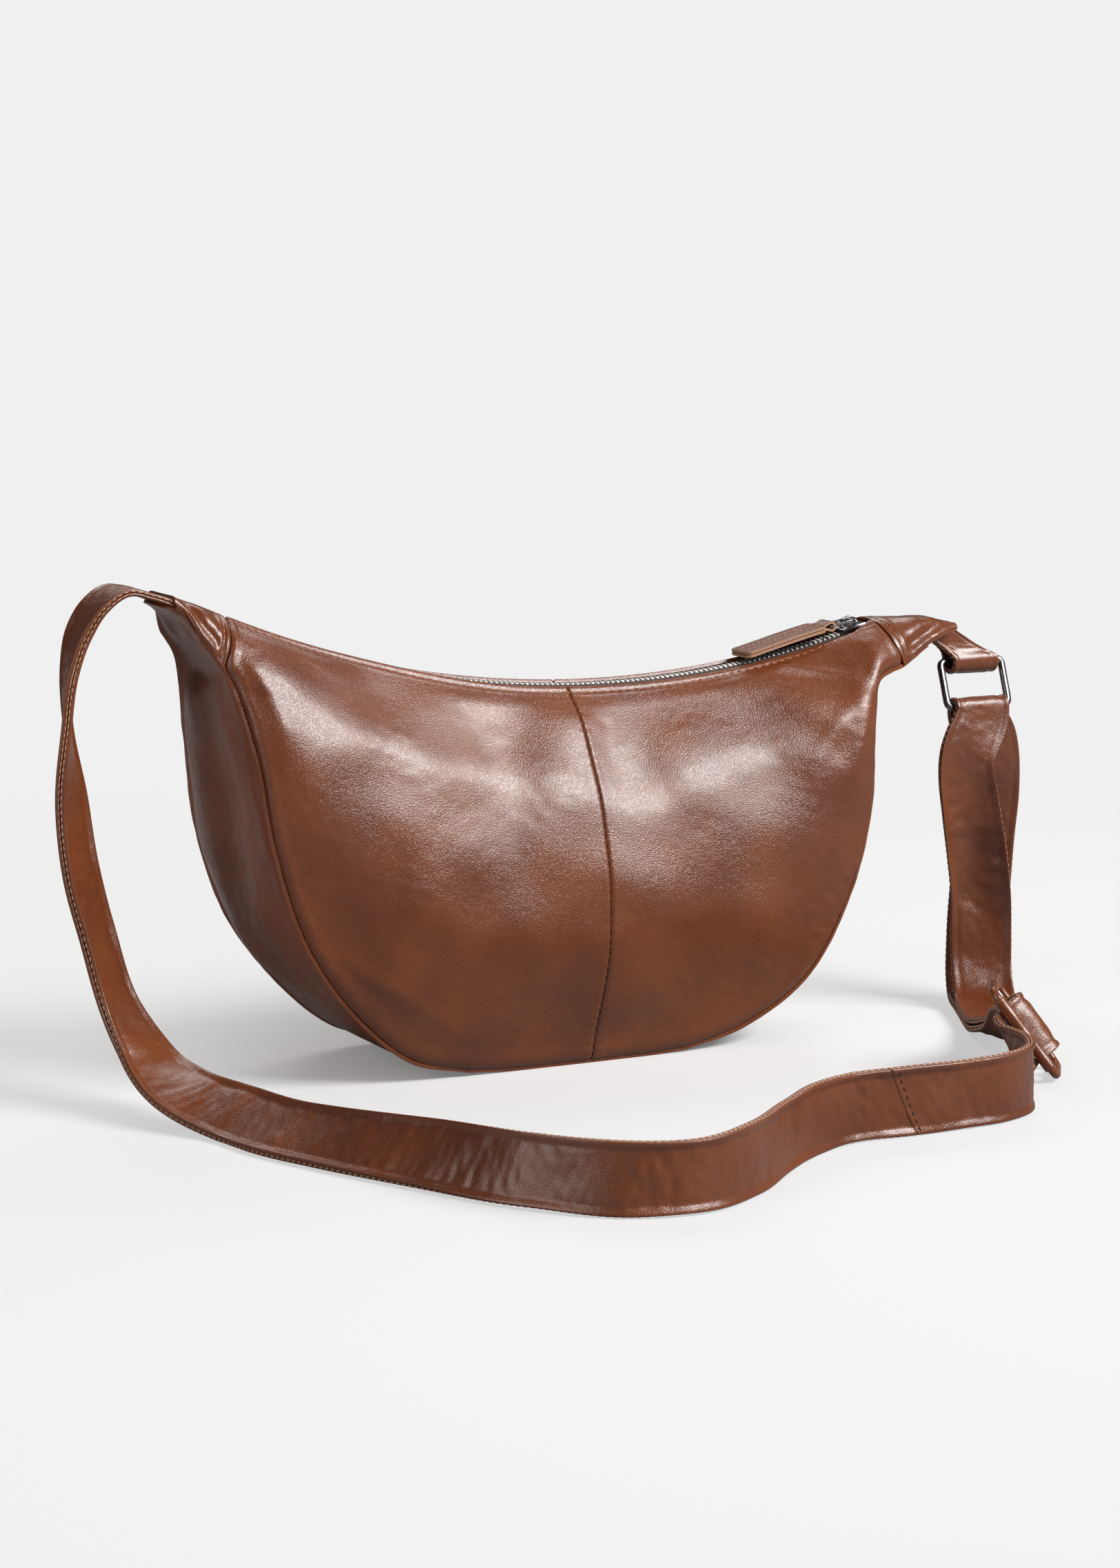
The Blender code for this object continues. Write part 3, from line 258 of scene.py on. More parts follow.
def gridMesh(name, points, wrapRows=False, wrapColumns=False, caps=False):
    rows, columns = points.shape[:2]
    index = np.arange(rows * columns).reshape(rows, columns)
    if wrapRows:
        index = np.vstack([index, index[:1]])
    if wrapColumns:
        index = np.hstack([index, index[:, :1]])
    faces = np.stack([index[:-1, :-1], index[:-1, 1:], index[1:, 1:], index[1:, :-1]], -1)
    faces = faces.reshape(-1, 4).tolist()
    if caps:
        faces += [index[0, :columns][::-1].tolist(), index[-1, :columns].tolist()]
    mesh = bpy.data.meshes.new(name)
    mesh.from_pydata(points.reshape(-1, 3).tolist(), [], faces)
    if wrapColumns:  # a closed tube knows its outside
        tube = bmesh.new()
        tube.from_mesh(mesh)
        bmesh.ops.recalc_face_normals(tube, faces=tube.faces)
        tube.to_mesh(mesh)
        tube.free()
    return mesh


def roundEdges(obj, width, degrees):
    rim = obj.modifiers.new("rim", "BEVEL")
    rim.width = width
    rim.segments = 3
    rim.limit_method = "ANGLE"
    rim.angle_limit = math.radians(degrees)
    return rim


def sheetPiece(name, points, outward, thickness, material, slot):
    # a sheet of the bag with real thickness and rounded edges
    mesh = gridMesh(name, points)
    middle = normalsOf(points, outward)[points.shape[0] // 2, points.shape[1] // 2]
    if np.dot(mesh.polygons[len(mesh.polygons) // 2].normal, middle) < 0:
        mesh.flip_normals()
    obj = addPiece(mesh, material, "bag", slot)
    solid = obj.modifiers.new("thickness", "SOLIDIFY")
    solid.thickness = thickness
    solid.offset = -1
    solid.use_quality_normals = True
    roundEdges(obj, thickness * 0.4, 50)
    return obj


# Shaders

def operators(operation):
    # an operator on values in a shader, and its reflected form
    return (
        lambda first, second: first.sum(operation, first, second),
        lambda first, second: first.sum(operation, second, first),
    )


class Wire:
    # a value in a shader, which Python can add, subtract and multiply
    __add__, __radd__ = operators("ADD")
    __sub__, __rsub__ = operators("SUBTRACT")
    __mul__, __rmul__ = operators("MULTIPLY")

    def __init__(self, tree, socket):
        self.tree = tree
        self.socket = socket

    def sum(self, operation, first, second):
        node = self.tree.nodes.new("ShaderNodeMath")
        node.operation = operation
        feed(self.tree, node.inputs[0], first)
        feed(self.tree, node.inputs[1], second)
        return Wire(self.tree, node.outputs[0])


def feed(tree, slot, value):
    if isinstance(value, Wire):
        tree.links.new(value.socket, slot)
    else:
        slot.default_value = value


def rgba(colour, tone=1.0):
    return tuple(value * tone for value in colour) + (1,)


def mixShaders(tree, factor, first, second, output):
    node = tree.nodes.new("ShaderNodeMixShader")
    for slot, socket in zip(node.inputs, (factor, first, second)):
        tree.links.new(socket, slot)
    tree.links.new(node.outputs[0], tree.nodes[output].inputs[0])


class Finish:
    # a material, its main shader and a way to add any other node
    def __init__(self, name, **values):
        self.material = bpy.data.materials.new(name)
        self.material.use_nodes = True
        self.tree = self.material.node_tree
        self.shader = self.tree.nodes["Principled BSDF"]
        for key, value in values.items():
            self.set(key.replace("_", " "), value)

    def node(self, kind, settings=None, sockets=None, out=0):
        node = self.tree.nodes.new("ShaderNode" + kind)
        for key, value in (settings or {}).items():
            setattr(node, key, value)
        for key, value in (sockets or {}).items():
            feed(self.tree, node.inputs[key], value)
        return Wire(self.tree, node.outputs[out])

    def set(self, key, value):
        feed(self.tree, self.shader.inputs[key], value)

    def place(self, turn=(0, 0, 0)):
        return self.node("Mapping", {}, {"Vector": self.node("TexCoord", out=3), "Rotation": turn})

    def clouds(self, where, size, detail=2.0, rough=0.5):
        sockets = {"Vector": where, "Scale": 1 / size, "Detail": detail, "Roughness": rough}
        return self.node("TexNoise", {}, sockets)

    def mixed(self, factor, first, second, blend="MIX"):
        settings = {"data_type": "RGBA", "blend_type": blend}
        return self.node("Mix", settings, {0: factor, 6: first, 7: second}, 2)

    def bumps(self, height, depth, strength, **under):
        return self.node("Bump", {}, {"Height": height, "Distance": depth, "Strength": strength, **under})


hide = {
    "light": (0.262, 0.068, 0.015),
    "dark": (0.158, 0.036, 0.008),
    "valleyTone": 0.55,
    "patch": 0.045,
    "grain": 0.00064,
    "grainDepth": 0.00009,
    "crease": 0.011,
    "creaseDepth": 0.00020,
    "roughness": 0.20,
    "shine": 0.75,
    "coat": 0.30,
    "coatRoughness": 0.22,
}


def leatherFinish(name, tone=1.0, grainShare=1.0, roughness=0.0, creases=1.0):
    # pebbled, lightly glazed leather, darker in patches and between its pebbles
    made = Finish(
        name, Coat_Roughness=hide["coatRoughness"], Coat_IOR=1.5, IOR=1.5, Specular_IOR_Level=hide["shine"]
    )
    where = made.place()
    shift = made.clouds(where, 0.004)
    bend = made.node("TexNoise", {}, {"Vector": where, "Scale": 420.0}, 1)
    bent = made.mixed(0.0012, where, bend, "ADD")
    cell = made.node("TexVoronoi", {}, {"Vector": bent, "Scale": 1 / hide["grain"], "Randomness": 0.85})
    sockets = {"Value": cell, "From Min": 0.05, "From Max": 0.75, "To Min": 1.0, "To Max": 0.0}
    pebble = made.node("MapRange", {"interpolation_type": "SMOOTHSTEP"}, sockets)
    patches = made.clouds(where, hide["patch"], 3.0, 0.6)
    soft = made.node("MapRange", {}, {"Value": patches, "From Min": 0.36, "From Max": 0.66})
    sockets = {"Vector": where, "Scale": 1 / hide["crease"], "Detail": 4.0}
    fine = made.node("TexNoise", {"noise_type": "RIDGED_MULTIFRACTAL"}, sockets)
    crease = made.node("MapRange", {}, {"Value": fine, "From Min": 0.35, "From Max": 1.0})
    colour = made.mixed(soft * 0.75, rgba(hide["dark"], tone), rgba(hide["light"], tone))
    valley = rgba([value * tone for value in hide["dark"]], hide["valleyTone"])
    made.set("Base Color", made.mixed((1 - pebble) * 0.45, colour, valley))
    made.set("Roughness", hide["roughness"] + roughness + 0.10 * shift + (1 - pebble) * 0.14)
    made.set("Coat Weight", hide["coat"] * (0.55 + 0.45 * pebble))
    normal = made.bumps(crease, hide["creaseDepth"] * creases, 0.5)
    made.set("Normal", made.bumps(pebble, hide["grainDepth"] * grainShare, 0.9, Normal=normal))
    return made.material


def patterned(made, pattern, low, high, depth, strength):
    # colour and bumps that follow one pattern
    made.set("Base Color", made.mixed(pattern, low, high))
    made.set("Normal", made.bumps(pattern, depth, strength))
    return made.material


def metalFinish(name, colour, roughness):
    made = Finish(name, Metallic=1.0)
    wear = made.clouds(made.place(), 0.003, 4.0, 0.65)
    made.set("Roughness", roughness + 0.18 * wear)
    return patterned(made, wear, rgba(colour), rgba(colour, 1.7), 0.00002, 0.5)


def clothFinish(name, colour, pitch):
    made = Finish(name, Roughness=0.85, Sheen_Weight=0.2)
    sockets = {"Vector": made.place(), "Scale": 1 / pitch / 6.28}
    warp, weft = (made.node("TexWave", {"bands_direction": way}, sockets) for way in "XY")
    return patterned(made, warp * weft, rgba(colour, 0.6), rgba(colour), 0.0001, 0.8)


def threadFinish(name, colour):
    made = Finish(name, Roughness=0.6)
    where = made.place(turn=(0.4, 0.3, 0.7))
    twist = made.node("TexWave", {}, {"Vector": where, "Scale": 900.0, "Distortion": 1.0})
    return patterned(made, twist, rgba(colour, 0.75), rgba(colour), 0.00004, 0.6)


def cutFinish(name, colour):
    # the raw edge of cut leather
    made = Finish(name, Roughness=0.75)
    made.set("Base Color", made.mixed(made.clouds(made.place(), 0.05), rgba(colour), rgba(colour, 1.25)))
    return made.material


panelLeather = leatherFinish("panel_leather")
# the gusset uses the panels' leather with its tone raised to 1.15, which is painted light that lifts the
# shade on the gusset; its finer grain and softer creases are its own
gussetLeatherPaintedLight = leatherFinish("gusset_leather", tone=1.15, grainShare=0.7, creases=0.8)
capLeather = leatherFinish("cap_leather", tone=0.95, grainShare=0.6, roughness=-0.02)
strapLeather = leatherFinish("strap_leather", tone=0.98, grainShare=0.8, creases=2.2)
edgeLeather = leatherFinish("edge_leather", tone=1.05, grainShare=0.4, roughness=-0.04)
pullLeather = leatherFinish("pull_leather", tone=0.95, grainShare=0.5)
cutEdge = cutFinish("cut_edge", (0.36, 0.20, 0.12))
panelThread = threadFinish("panel_thread", (0.42, 0.21, 0.13))
strapThread = threadFinish("strap_thread", (0.60, 0.36, 0.23))
darkThread = threadFinish("dark_thread", (0.11, 0.045, 0.028))
gunmetal = metalFinish("gunmetal", (0.24, 0.235, 0.24), 0.13)
ringMetal = metalFinish("ring_gunmetal", (0.17, 0.165, 0.17), 0.15)
toothMetal = metalFinish("tooth_metal", (0.42, 0.40, 0.38), 0.20)
tapeCloth = clothFinish("tape_cloth", (0.075, 0.036, 0.026), 0.0006)
liningCloth = clothFinish("lining_cloth", (0.10, 0.062, 0.048), 0.0008)
print("finishes made")


# The body

relief = {
    # x, z, two radii, turn in degrees and height
    "frontSpots": (
        (-0.148, 0.182, 0.016, 0.008, -30, 0.0012), (-0.155, 0.170, 0.012, 0.008, -40, -0.0016),
        (-0.118, 0.158, 0.026, 0.012, -35, 0.0014), (-0.076, 0.140, 0.030, 0.014, -12, 0.0012),
        (-0.038, 0.146, 0.018, 0.012, 10, -0.0015), (-0.030, 0.118, 0.030, 0.016, 0, 0.0009),
        (0.016, 0.140, 0.014, 0.022, 15, -0.0016), (0.070, 0.128, 0.036, 0.018, 12, 0.0014),
        (0.104, 0.156, 0.018, 0.010, -25, 0.0013), (0.112, 0.139, 0.020, 0.008, -28, -0.0013),
        (0.090, 0.100, 0.030, 0.020, 20, -0.0010), (-0.120, 0.110, 0.020, 0.030, 10, -0.0008),
        (0.020, 0.060, 0.060, 0.020, 5, 0.0010), (-0.060, 0.040, 0.040, 0.016, -20, -0.0007),
    ),
    "backSpots": (
        (-0.110, 0.150, 0.030, 0.016, 30, 0.0013), (0.080, 0.130, 0.034, 0.018, -15, 0.0014),
        (0, 0.110, 0.050, 0.020, 5, 0.0010), (-0.060, 0.060, 0.040, 0.020, -20, -0.0010),
        (0.060, 0.050, 0.040, 0.016, 15, 0.0008),
    ),
    # start, end, width and height
    "frontFolds": (
        (0.138, 0.166, 0.084, 0.174, 0.0022, 0.0011), (0.139, 0.160, 0.124, 0.118, 0.0050, 0.0018),
        (0.136, 0.158, 0.104, 0.128, 0.0045, 0.0010), (-0.158, 0.196, -0.110, 0.176, 0.0036, 0.0008),
        (-0.160, 0.186, -0.146, 0.150, 0.0040, 0.0010), (-0.130, 0.060, -0.070, 0.020, 0.0040, 0.0007),
    ),
    "backFolds": (
        (0.138, 0.166, 0.090, 0.150, 0.0040, 0.0012), (-0.160, 0.190, -0.110, 0.150, 0.0040, 0.0012),
        (0.136, 0.158, 0.124, 0.110, 0.0045, 0.0013),
    ),
    # height, distance from the seam or edge, and width
    "centreRidges": ((-0.0006, 0, 0.0007), (0.0001, 0.0026, 0.0018)),
    "gussetRidges": ((-0.0012, 0, 0.0022), (0.0006, 0.006, 0.004)),
    "lipRidges": ((0.0003, 0.0012, 0.0011), (0.00022, 0.0045, 0.0010)),
    "pipingRidges": ((0.0009, 0, 0.0016), (-0.0005, 0.0030, 0.0012)),
    "bindingRidges": ((0.0005, 0.0018, 0.0013), (-0.0005, 0.0036, 0.0008), (0.0004, 0.0056, 0.0013)),
    "hemRidges": ((0.0013, 0.0022, 0.0018), (-0.0010, 0.0062, 0.0022), (0.0006, 0.0110, 0.0035)),
    "swell": 0.0008,
    "swellWave": 0.075,
    "ruffle": 0.00024,
    "ruffleWave": 0.034,
    "crinkle": 0.00003,
    "crinkleWave": 0.009,
    "deepest": 0.0013,
    "lipDrop": 0.0028,
    "stitchFall": 0.0029,
}


def limited(rise):
    # never as deep as the lining
    return np.logaddexp(0, (rise + relief["deepest"]) / 0.0004) * 0.0004 - relief["deepest"]


def panelPoints(face, half, start, end, columns, rows):
    # a half panel: its grid with all its folds, its normals and the way down from its upper edge
    side = -1 if face == "front" else 1
    share = np.linspace(start, end, columns)[:, None]
    spread = np.linspace(0, 1, rows)
    fall = (0.25 * spread + 0.75 * (1 - np.cos(np.pi * spread)) / 2)[None, :]
    points = skin(share, fall, side)
    toCap = np.abs(share - bag[half + "Cap"]) * seamLength
    sunk = relief["lipDrop"] * (ease(share, 0.20, 0.46) if side < 0 else 0.4) * ease(toCap, 0.003, 0.022)
    points[..., 2] -= sunk * (1 - ease(fall, 0, 0.07))
    normals = normalsOf(points, side * ahead)
    down = np.linalg.norm(np.diff(points, axis=1, prepend=points[:, :1]), axis=-1).cumsum(axis=1)
    along = np.linalg.norm(np.diff(points[:, :1], axis=0, prepend=points[:1, :1]), axis=-1).cumsum(axis=0)
    up = down[:, -1:] - down
    x, z = points[..., 0], points[..., 2]
    toCentre = np.abs(share - bag["centreSeam"]) * seamLength
    middle = ease(up, 0.002, 0.03) * ease(down, 0.002, 0.02) * ease(toCap, 0, 0.02)
    rise = relief["swell"] * ripples(points, relief["swellWave"], 11 if side < 0 else 12) * middle
    rise += relief["ruffle"] * ripples(points, relief["ruffleWave"], 15, (1, 1, 1.3), 20) * middle
    rise += spots(x, z, relief[face + "Spots"]) * ease(down, 0.001, 0.01) * ease(up, 0.002, 0.02)
    rise += folds(x, z, relief[face + "Folds"]) * ease(down, 0.0035, 0.010) * ease(up, 0.003, 0.02)
    rise = limited(rise)
    busy = 0.35 + ease(ripples(points, 0.05, 21), -0.2, 1.4) + 0.8 * hill(up, 0.035)
    crinkles = busy * ripples(points, relief["crinkleWave"], 31, (1, 1, 1.6), 24)
    rise += relief["crinkle"] * crinkles * ease(down, 0.003, 0.01)
    pucker = np.sin(2 * np.pi * down / 0.0042 + 0.6 * np.sin(down * 90))
    rise += 0.00016 * pucker * hill(toCentre - 0.0018, 0.0016) * ease(down, 0.003, 0.01)
    rise += ridges(toCentre, relief["centreRidges"]) + ridges(up, relief["gussetRidges"])
    rise += -0.0004 * hill(toCap, 0.0012) + 0.0006 * hill(toCap - 0.0035, 0.0020) * ease(down, 0, 0.006)
    rise += ridges(down, relief["lipRidges"]) - 0.00032 * hill(down - relief["stitchFall"], 0.0006)
    rise += 0.00006 * np.sin(2 * np.pi * along / 0.0041) * hill(down - 0.0045, 0.0022)
    return points + normals * rise[..., None], normals, down


def sew(name, rows, length, radius, thread, body, slot, sink=0.35, slant=0.0):
    # rows of stitches, each a short capsule of thread laid on a surface
    places, ways, normals = (np.concatenate(part) for part in zip(*rows))
    shape = ((-0.50, 0.25), (-0.43, 0.75), (-0.22, 1.0), (0.22, 1.0), (0.43, 0.75), (0.50, 0.25))
    ways = unit(ways)
    ways = unit(ways * math.cos(slant) + unit(np.cross(normals, ways)) * math.sin(slant))
    sides = unit(np.cross(normals, ways))
    rings = []
    for along, share in shape:
        arch = (1 - (2 * along) ** 2) * radius * 0.8 - radius * sink
        for angle in math.pi / 3 * np.arange(6):
            offset = ways * along * length + sides * radius * share * math.cos(angle)
            rings.append(places + offset + normals * (radius * share * math.sin(angle) + arch))
    base = np.arange(len(rings)).reshape(-1, 6)
    near, far = base[:-1], base[1:]
    quads = np.stack([near, np.roll(near, -1, 1), np.roll(far, -1, 1), far], -1).reshape(-1, 4)
    shell = quads.tolist() + [base[0][::-1].tolist(), base[-1].tolist()]
    starts = range(0, len(places) * base.size, base.size)
    faces = [[corner + start for corner in face] for start in starts for face in shell]
    mesh = bpy.data.meshes.new(name)
    mesh.from_pydata(np.stack(rings, 1).reshape(-1, 3).tolist(), [], faces)
    return addPiece(mesh, thread, body, slot, ())


def spaced(line, normals, pitch, start=0.0, end=0.0):
    # even places along a line of points, with the way along and the normal there
    lengths = np.concatenate([[0], np.cumsum(np.linalg.norm(np.diff(line, axis=0), axis=1))])
    count = max(2, int((lengths[-1] - start - end) / pitch))
    wanted = np.linspace(start + pitch / 2, lengths[-1] - end - pitch / 2, count)
    places, ways, around = (
        np.stack([np.interp(wanted, lengths, column) for column in values.T], 1)
        for values in (line, np.gradient(line, lengths, axis=0), normals)
    )
    return places, ways, unit(around)


def makePanels():
    inset = 0.0004 / seamLength
    halves = {
        "left": (bag["leftCap"] + inset, bag["centreSeam"] - inset / 2),
        "right": (bag["centreSeam"] + inset / 2, bag["rightCap"] - inset),
    }
    for face, side, columns, rows in (("front", -1, 230, 150), ("back", 1, 130, 90)):
        edge = []
        for half, shares in halves.items():
            points, normals, down = panelPoints(face, half, *shares, columns, rows)
            slot = f"{face}_panel_{half}"
            sheetPiece(f"{face}_{half}_leather", points, side * ahead, bag["leather"], panelLeather, slot)
            number = np.arange(columns)[8:] if half == "left" else np.arange(columns)[:-8]
            row = [np.searchsorted(down[column], relief["stitchFall"]) for column in number]
            edge.append((points[number, row], normals[number, row]))
            if half == "left":
                groove = spaced(points[-1], normals[-1], 0.0042, 0.006, 0.004)
        seamLine = spaced(*(np.concatenate(part) for part in zip(*edge)), 0.0041)
        slot = f"{face}_panel_left"
        sew(f"{face}_zip_stitches", [seamLine], 0.0031, 0.00033, panelThread, "bag", slot, slant=0.12)
        sew(f"{face}_centre_stitches", [groove], 0.0016, 0.00028, darkThread, "bag", slot, 0.2)


def wrapTip(points, share, across, thickness, tongue=0.0):
    # near the left tip the leather closes round the strap as a flat sleeve
    t = 1 - ease(share, 0, 0.026)
    x = points[..., 0] - tongue * (1 - ease(share, 0, 0.018)) * (1 - across**2)
    middle = bag["sleevePlace"][1] - bag["sleeveFall"] * (x - bag["sleevePlace"][0])
    height = middle + thickness * np.sqrt(1 - across**10)
    wrapped = np.stack([x, bag["sleeveHalfWidth"] * across + 0 * x, height], -1)
    return points + (wrapped - points) * t[..., None]


def makeGusset():
    share = np.linspace(0.002, bag["gussetEnd"], 420)
    row, slope = seam.at(share * seamLength)
    x, z, depth = row.T[..., None]
    share = share[:, None]
    outward = np.stack([slope[:, 1], 0 * slope[:, 0], -slope[:, 0]], 1)
    outward = np.where(z <= 0, -above, unit(outward))[:, None]
    across = np.linspace(-1, 1, 84)[None, :]
    reach = np.where(across > 0, bag["backDepthShare"], 1) * depth - 0.0006
    y = across * reach
    points = np.stack([x + 0 * y, y, seamHeight(x, z) + 0 * y], -1)
    points = wrapTip(points, share, across, -0.0036, 0.008)
    toEdge = (1 - np.abs(across)) * reach
    high = ease(z, 0.004, 0.05)
    leftSide = x < 0
    puff = 0.0030 * np.cos(np.pi / 2 * across) * high * ease(share, 0.02, 0.06)
    sides = leftSide * ease(z, 0.03, 0.07) * (1 - ease(z, 0.172, 0.190))
    puff = puff + 0.0040 * hill(across - 0.55, 0.50) * sides
    wander = across - 0.14 * np.sin(z * 38) - np.where(leftSide, 0.10, -0.05)
    valley = -0.0011 * hill(wander, 0.22) * high * ease(z, 0.03, 0.12)
    crest = (0.0007 * hill(wander - 0.36, 0.2) + 0.0005 * hill(wander + 0.45, 0.2)) * high
    pinch = hill(z - 0.184 + 0.006 * across, 0.009) * (1 - across**6) * np.where(leftSide, 1, 0.3)
    soft = 0.0007 * ripples(points, 0.045, 41) * high * ease(toEdge, 0.001, 0.008)
    fine = 0.00006 * ripples(points, 0.008, 42, count=20) * high
    piping = ridges(toEdge, relief["pipingRidges"]) * ease(z, 0.001, 0.01)
    rise = limited(puff + valley + crest - 0.0050 * pinch + soft) + fine + piping
    points = points + outward * (rise * ease(share, 0.004, 0.022))[..., None]
    sheetPiece("gusset_leather_strip", points, outward, bag["leather"], gussetLeatherPaintedLight, "gusset")


def capPoints(half, start, end):
    share = np.linspace(start, end, 70)[:, None]
    spread = np.linspace(-1, 1, 120)[None, :]
    points = skin(share, np.abs(spread) ** 1.9, np.where(spread < 0, -1.0, 1.0), closedTop=True)
    if half == "left":
        points = wrapTip(points, share, spread, 0.0034)
    normals = normalsOf(points, points - points.mean(axis=1, keepdims=True) + 0.02 * above)
    nearer = np.where(spread[..., None] < 0, points[:, :1], points[:, -1:])
    lower = np.linalg.norm(points - nearer, axis=-1)
    toSeam = np.abs(share - bag[half + "Cap"]) * seamLength + 0 * spread
    away = ease(toSeam, 0.004, 0.010)
    waves = 0.0004 * ripples(points, 0.022, 51) + 0.00008 * ripples(points, 0.006, 52)
    rise = ridges(toSeam, relief["bindingRidges"]) + (ridges(lower, relief["hemRidges"]) + waves) * away
    if half == "left":  # the puller lies over the middle of this cap when the zip is open
        rise = rise * ease(share, 0.004, 0.022) * (1 - 0.7 * hill(points[..., 1], 0.010))
    else:
        rise = rise * (1 - 0.85 * ease(share, 0.975, 0.997))
    return points + normals * rise[..., None], normals, toSeam


def makeCaps():
    inset = 0.0003 / seamLength
    for half, start, end in (("left", 0.0, bag["leftCap"] - inset), ("right", bag["rightCap"] + inset, 1.0)):
        points, normals, toSeam = capPoints(half, start, end)
        slot = f"{half}_end_cap"
        sheetPiece(f"{half}_cap_leather", points, normals, bag["leather"], capLeather, slot)
        column = int(np.argmin(np.abs(toSeam[:, 0] - 0.0036)))
        row = spaced(points[column], normals[column], 0.0036, 0.002, 0.002)
        sew(f"{half}_cap_stitches", [row], 0.0026, 0.00030, panelThread, "bag", slot)


# The zip

zipSizes = {
    "cordOuter": 0.0036,
    "toothPitch": 0.00254,
    "toothWidth": 0.00135,
    "toothHalfHeight": 0.0013,
    "toothBevel": 0.00032,
    "overlap": 0.0006,
    "stopLength": 0.0019,
    "margin": 0.0008,
    "tapeInner": 0.0021,
    "tapeWidth": 0.0078,
    "tapeThickness": 0.0006,
}


def toothShape(sizes, bevel):
    bm = bmesh.new()
    bmesh.ops.create_cube(bm, size=1)
    bmesh.ops.scale(bm, vec=sizes, verts=bm.verts)
    bmesh.ops.bevel(bm, geom=bm.edges, offset=bevel, segments=2, profile=0.6, affect="EDGES")
    verts = np.array([vert.co for vert in bm.verts])
    faces = [[vert.index for vert in face.verts] for face in bm.faces]
    bm.free()
    verts[:, 2] *= 1 - 0.25 * (np.abs(verts[:, 1]) / (sizes[1] / 2)) ** 2
    return verts, faces


def makeTeeth():
    pitch = zipSizes["toothPitch"] / arcRadius
    margin = (zipSizes["margin"] + zipSizes["stopLength"] + bag["gap"]) / arcRadius
    count = int((zipRight - zipLeft - 2 * margin) / pitch)
    reach = zipSizes["cordOuter"] + zipSizes["overlap"]
    sizes = (zipSizes["toothWidth"], reach, 2 * zipSizes["toothHalfHeight"])
    shape, corners = toothShape(sizes, zipSizes["toothBevel"])
    for face, side, offset in (("front", -1, 0.25), ("back", 1, 0.75)):
        verts, faces = [], []
        for number in range(count):
            angle = zipLeft + margin + pitch * (number + offset)
            middle = onArc(angle, 0.0, side * (zipSizes["cordOuter"] - reach / 2))
            along = np.array([math.cos(angle), 0, math.sin(angle)])
            verts.append(middle + shape @ np.array([along, ahead, np.cross(along, ahead)]))
            faces += [[corner + number * len(shape) for corner in loop] for loop in corners]
        mesh = bpy.data.meshes.new(f"{face}_teeth_row")
        mesh.from_pydata(np.concatenate(verts).tolist(), [], faces)
        row = addPiece(mesh, toothMetal, "bag", f"{face}_zip_teeth")
        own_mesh(row)


def makeTapes():
    angles = np.linspace(zipLeft, zipRight, 260)[:, None]
    for face, side in (("front", -1), ("back", 1)):
        y = side * (zipSizes["tapeInner"] + zipSizes["tapeWidth"] * np.linspace(0, 1, 14)[None, :])
        lift = 0.0009 * hill(np.abs(y) - 0.0029, 0.0009) - 0.0003 - 0.0035 * ease(np.abs(y), 0.0064, 0.0099)
        points = onArc(angles, lift, y)
        slot = f"{face}_zip_tape"
        tape = sheetPiece(f"{face}_tape_weave", points, above, zipSizes["tapeThickness"], tapeCloth, slot)
        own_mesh(tape)


def paint(node, material):
    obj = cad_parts[node]
    obj.data.materials.clear()
    obj.data.materials.append(material)
    return obj


def makeSlider():
    # the rigid metal nodes, with their edges rounded
    nodes = ["slider_body", "slider_bridge", "pull_link"]
    for node in nodes + ["zip_bottom_stop", "zip_top_stop_front", "zip_top_stop_back"]:
        obj = paint(node, gunmetal)
        obj.modifiers.new("weld", "WELD").merge_threshold = 1e-6
        roundEdges(obj, 0.00025, 35).harden_normals = True
        obj.data.shade_smooth()


# The strap

strap = {
    "width": 0.029,
    "thickness": 0.0026,
    "reach": 0.280,
    "layerGap": 0.0012,
    "floorGap": 0.0003,
    "step": 0.0012,
    # lengths along the strap and how much its edges puff up there
    "mainPuff": ((0, 0.03, 0.06), (0.1, 0.1, 0.75)),
    "tailPuff": ((0, 0.07, 0.11), (0.75, 0.75, 0.2)),
    "stitchLift": 0.00055,
    "cup": -0.0050,
    "slant": 0.45,
    "archLength": 0.078,
    "archStart": (-0.190, 0.0, 0.2135),
    "archEnd": (-0.2305, 0.0, 0.190),
    "ringShares": (1.165, 0.776),
    "ringWire": 0.0030,
    "ringWidth": 0.034,
    "ringHeight": 0.0225,
    "ringCorner": 0.003,
    "ringLean": 20,
    "weaveGap": 0.0005,
}
# x, y, the height above lying flat, and the way of the strap's width
hangingShares = (
    (-0.925, 0, 0.954, (0, 1, 0)), (-1.003, 0, 0.992, (0, 1, 0)), (-1.048, 0, 1.006, (0, 1, 0)),
    (-1.101, 0, 1.016, (0, 1, 0)), (-1.162, -0.004, 0.985, (0.03, 1, 0)),
    (-1.199, -0.005, 0.935, (0.08, 0.99, 0)), (-1.223, -0.007, 0.865, (0.2, 0.98, 0)),
    (-1.234, -0.011, 0.747, (0.36, 0.93, 0)), (-1.231, -0.018, 0.605, (0.63, 0.77, 0)),
    (-1.218, -0.029, 0.464, (0.68, 0.72, 0.04)), (-1.186, -0.039, 0.332, (0.66, 0.74, 0.1)),
    (-1.154, -0.061, 0.204, (0.75, 0.66, -0.1)), (-1.122, -0.114, 0.118, (0.93, 0.34, -0.14)),
    (-1.098, -0.212, 0.066, (0.96, 0.13, 0.24)),
)
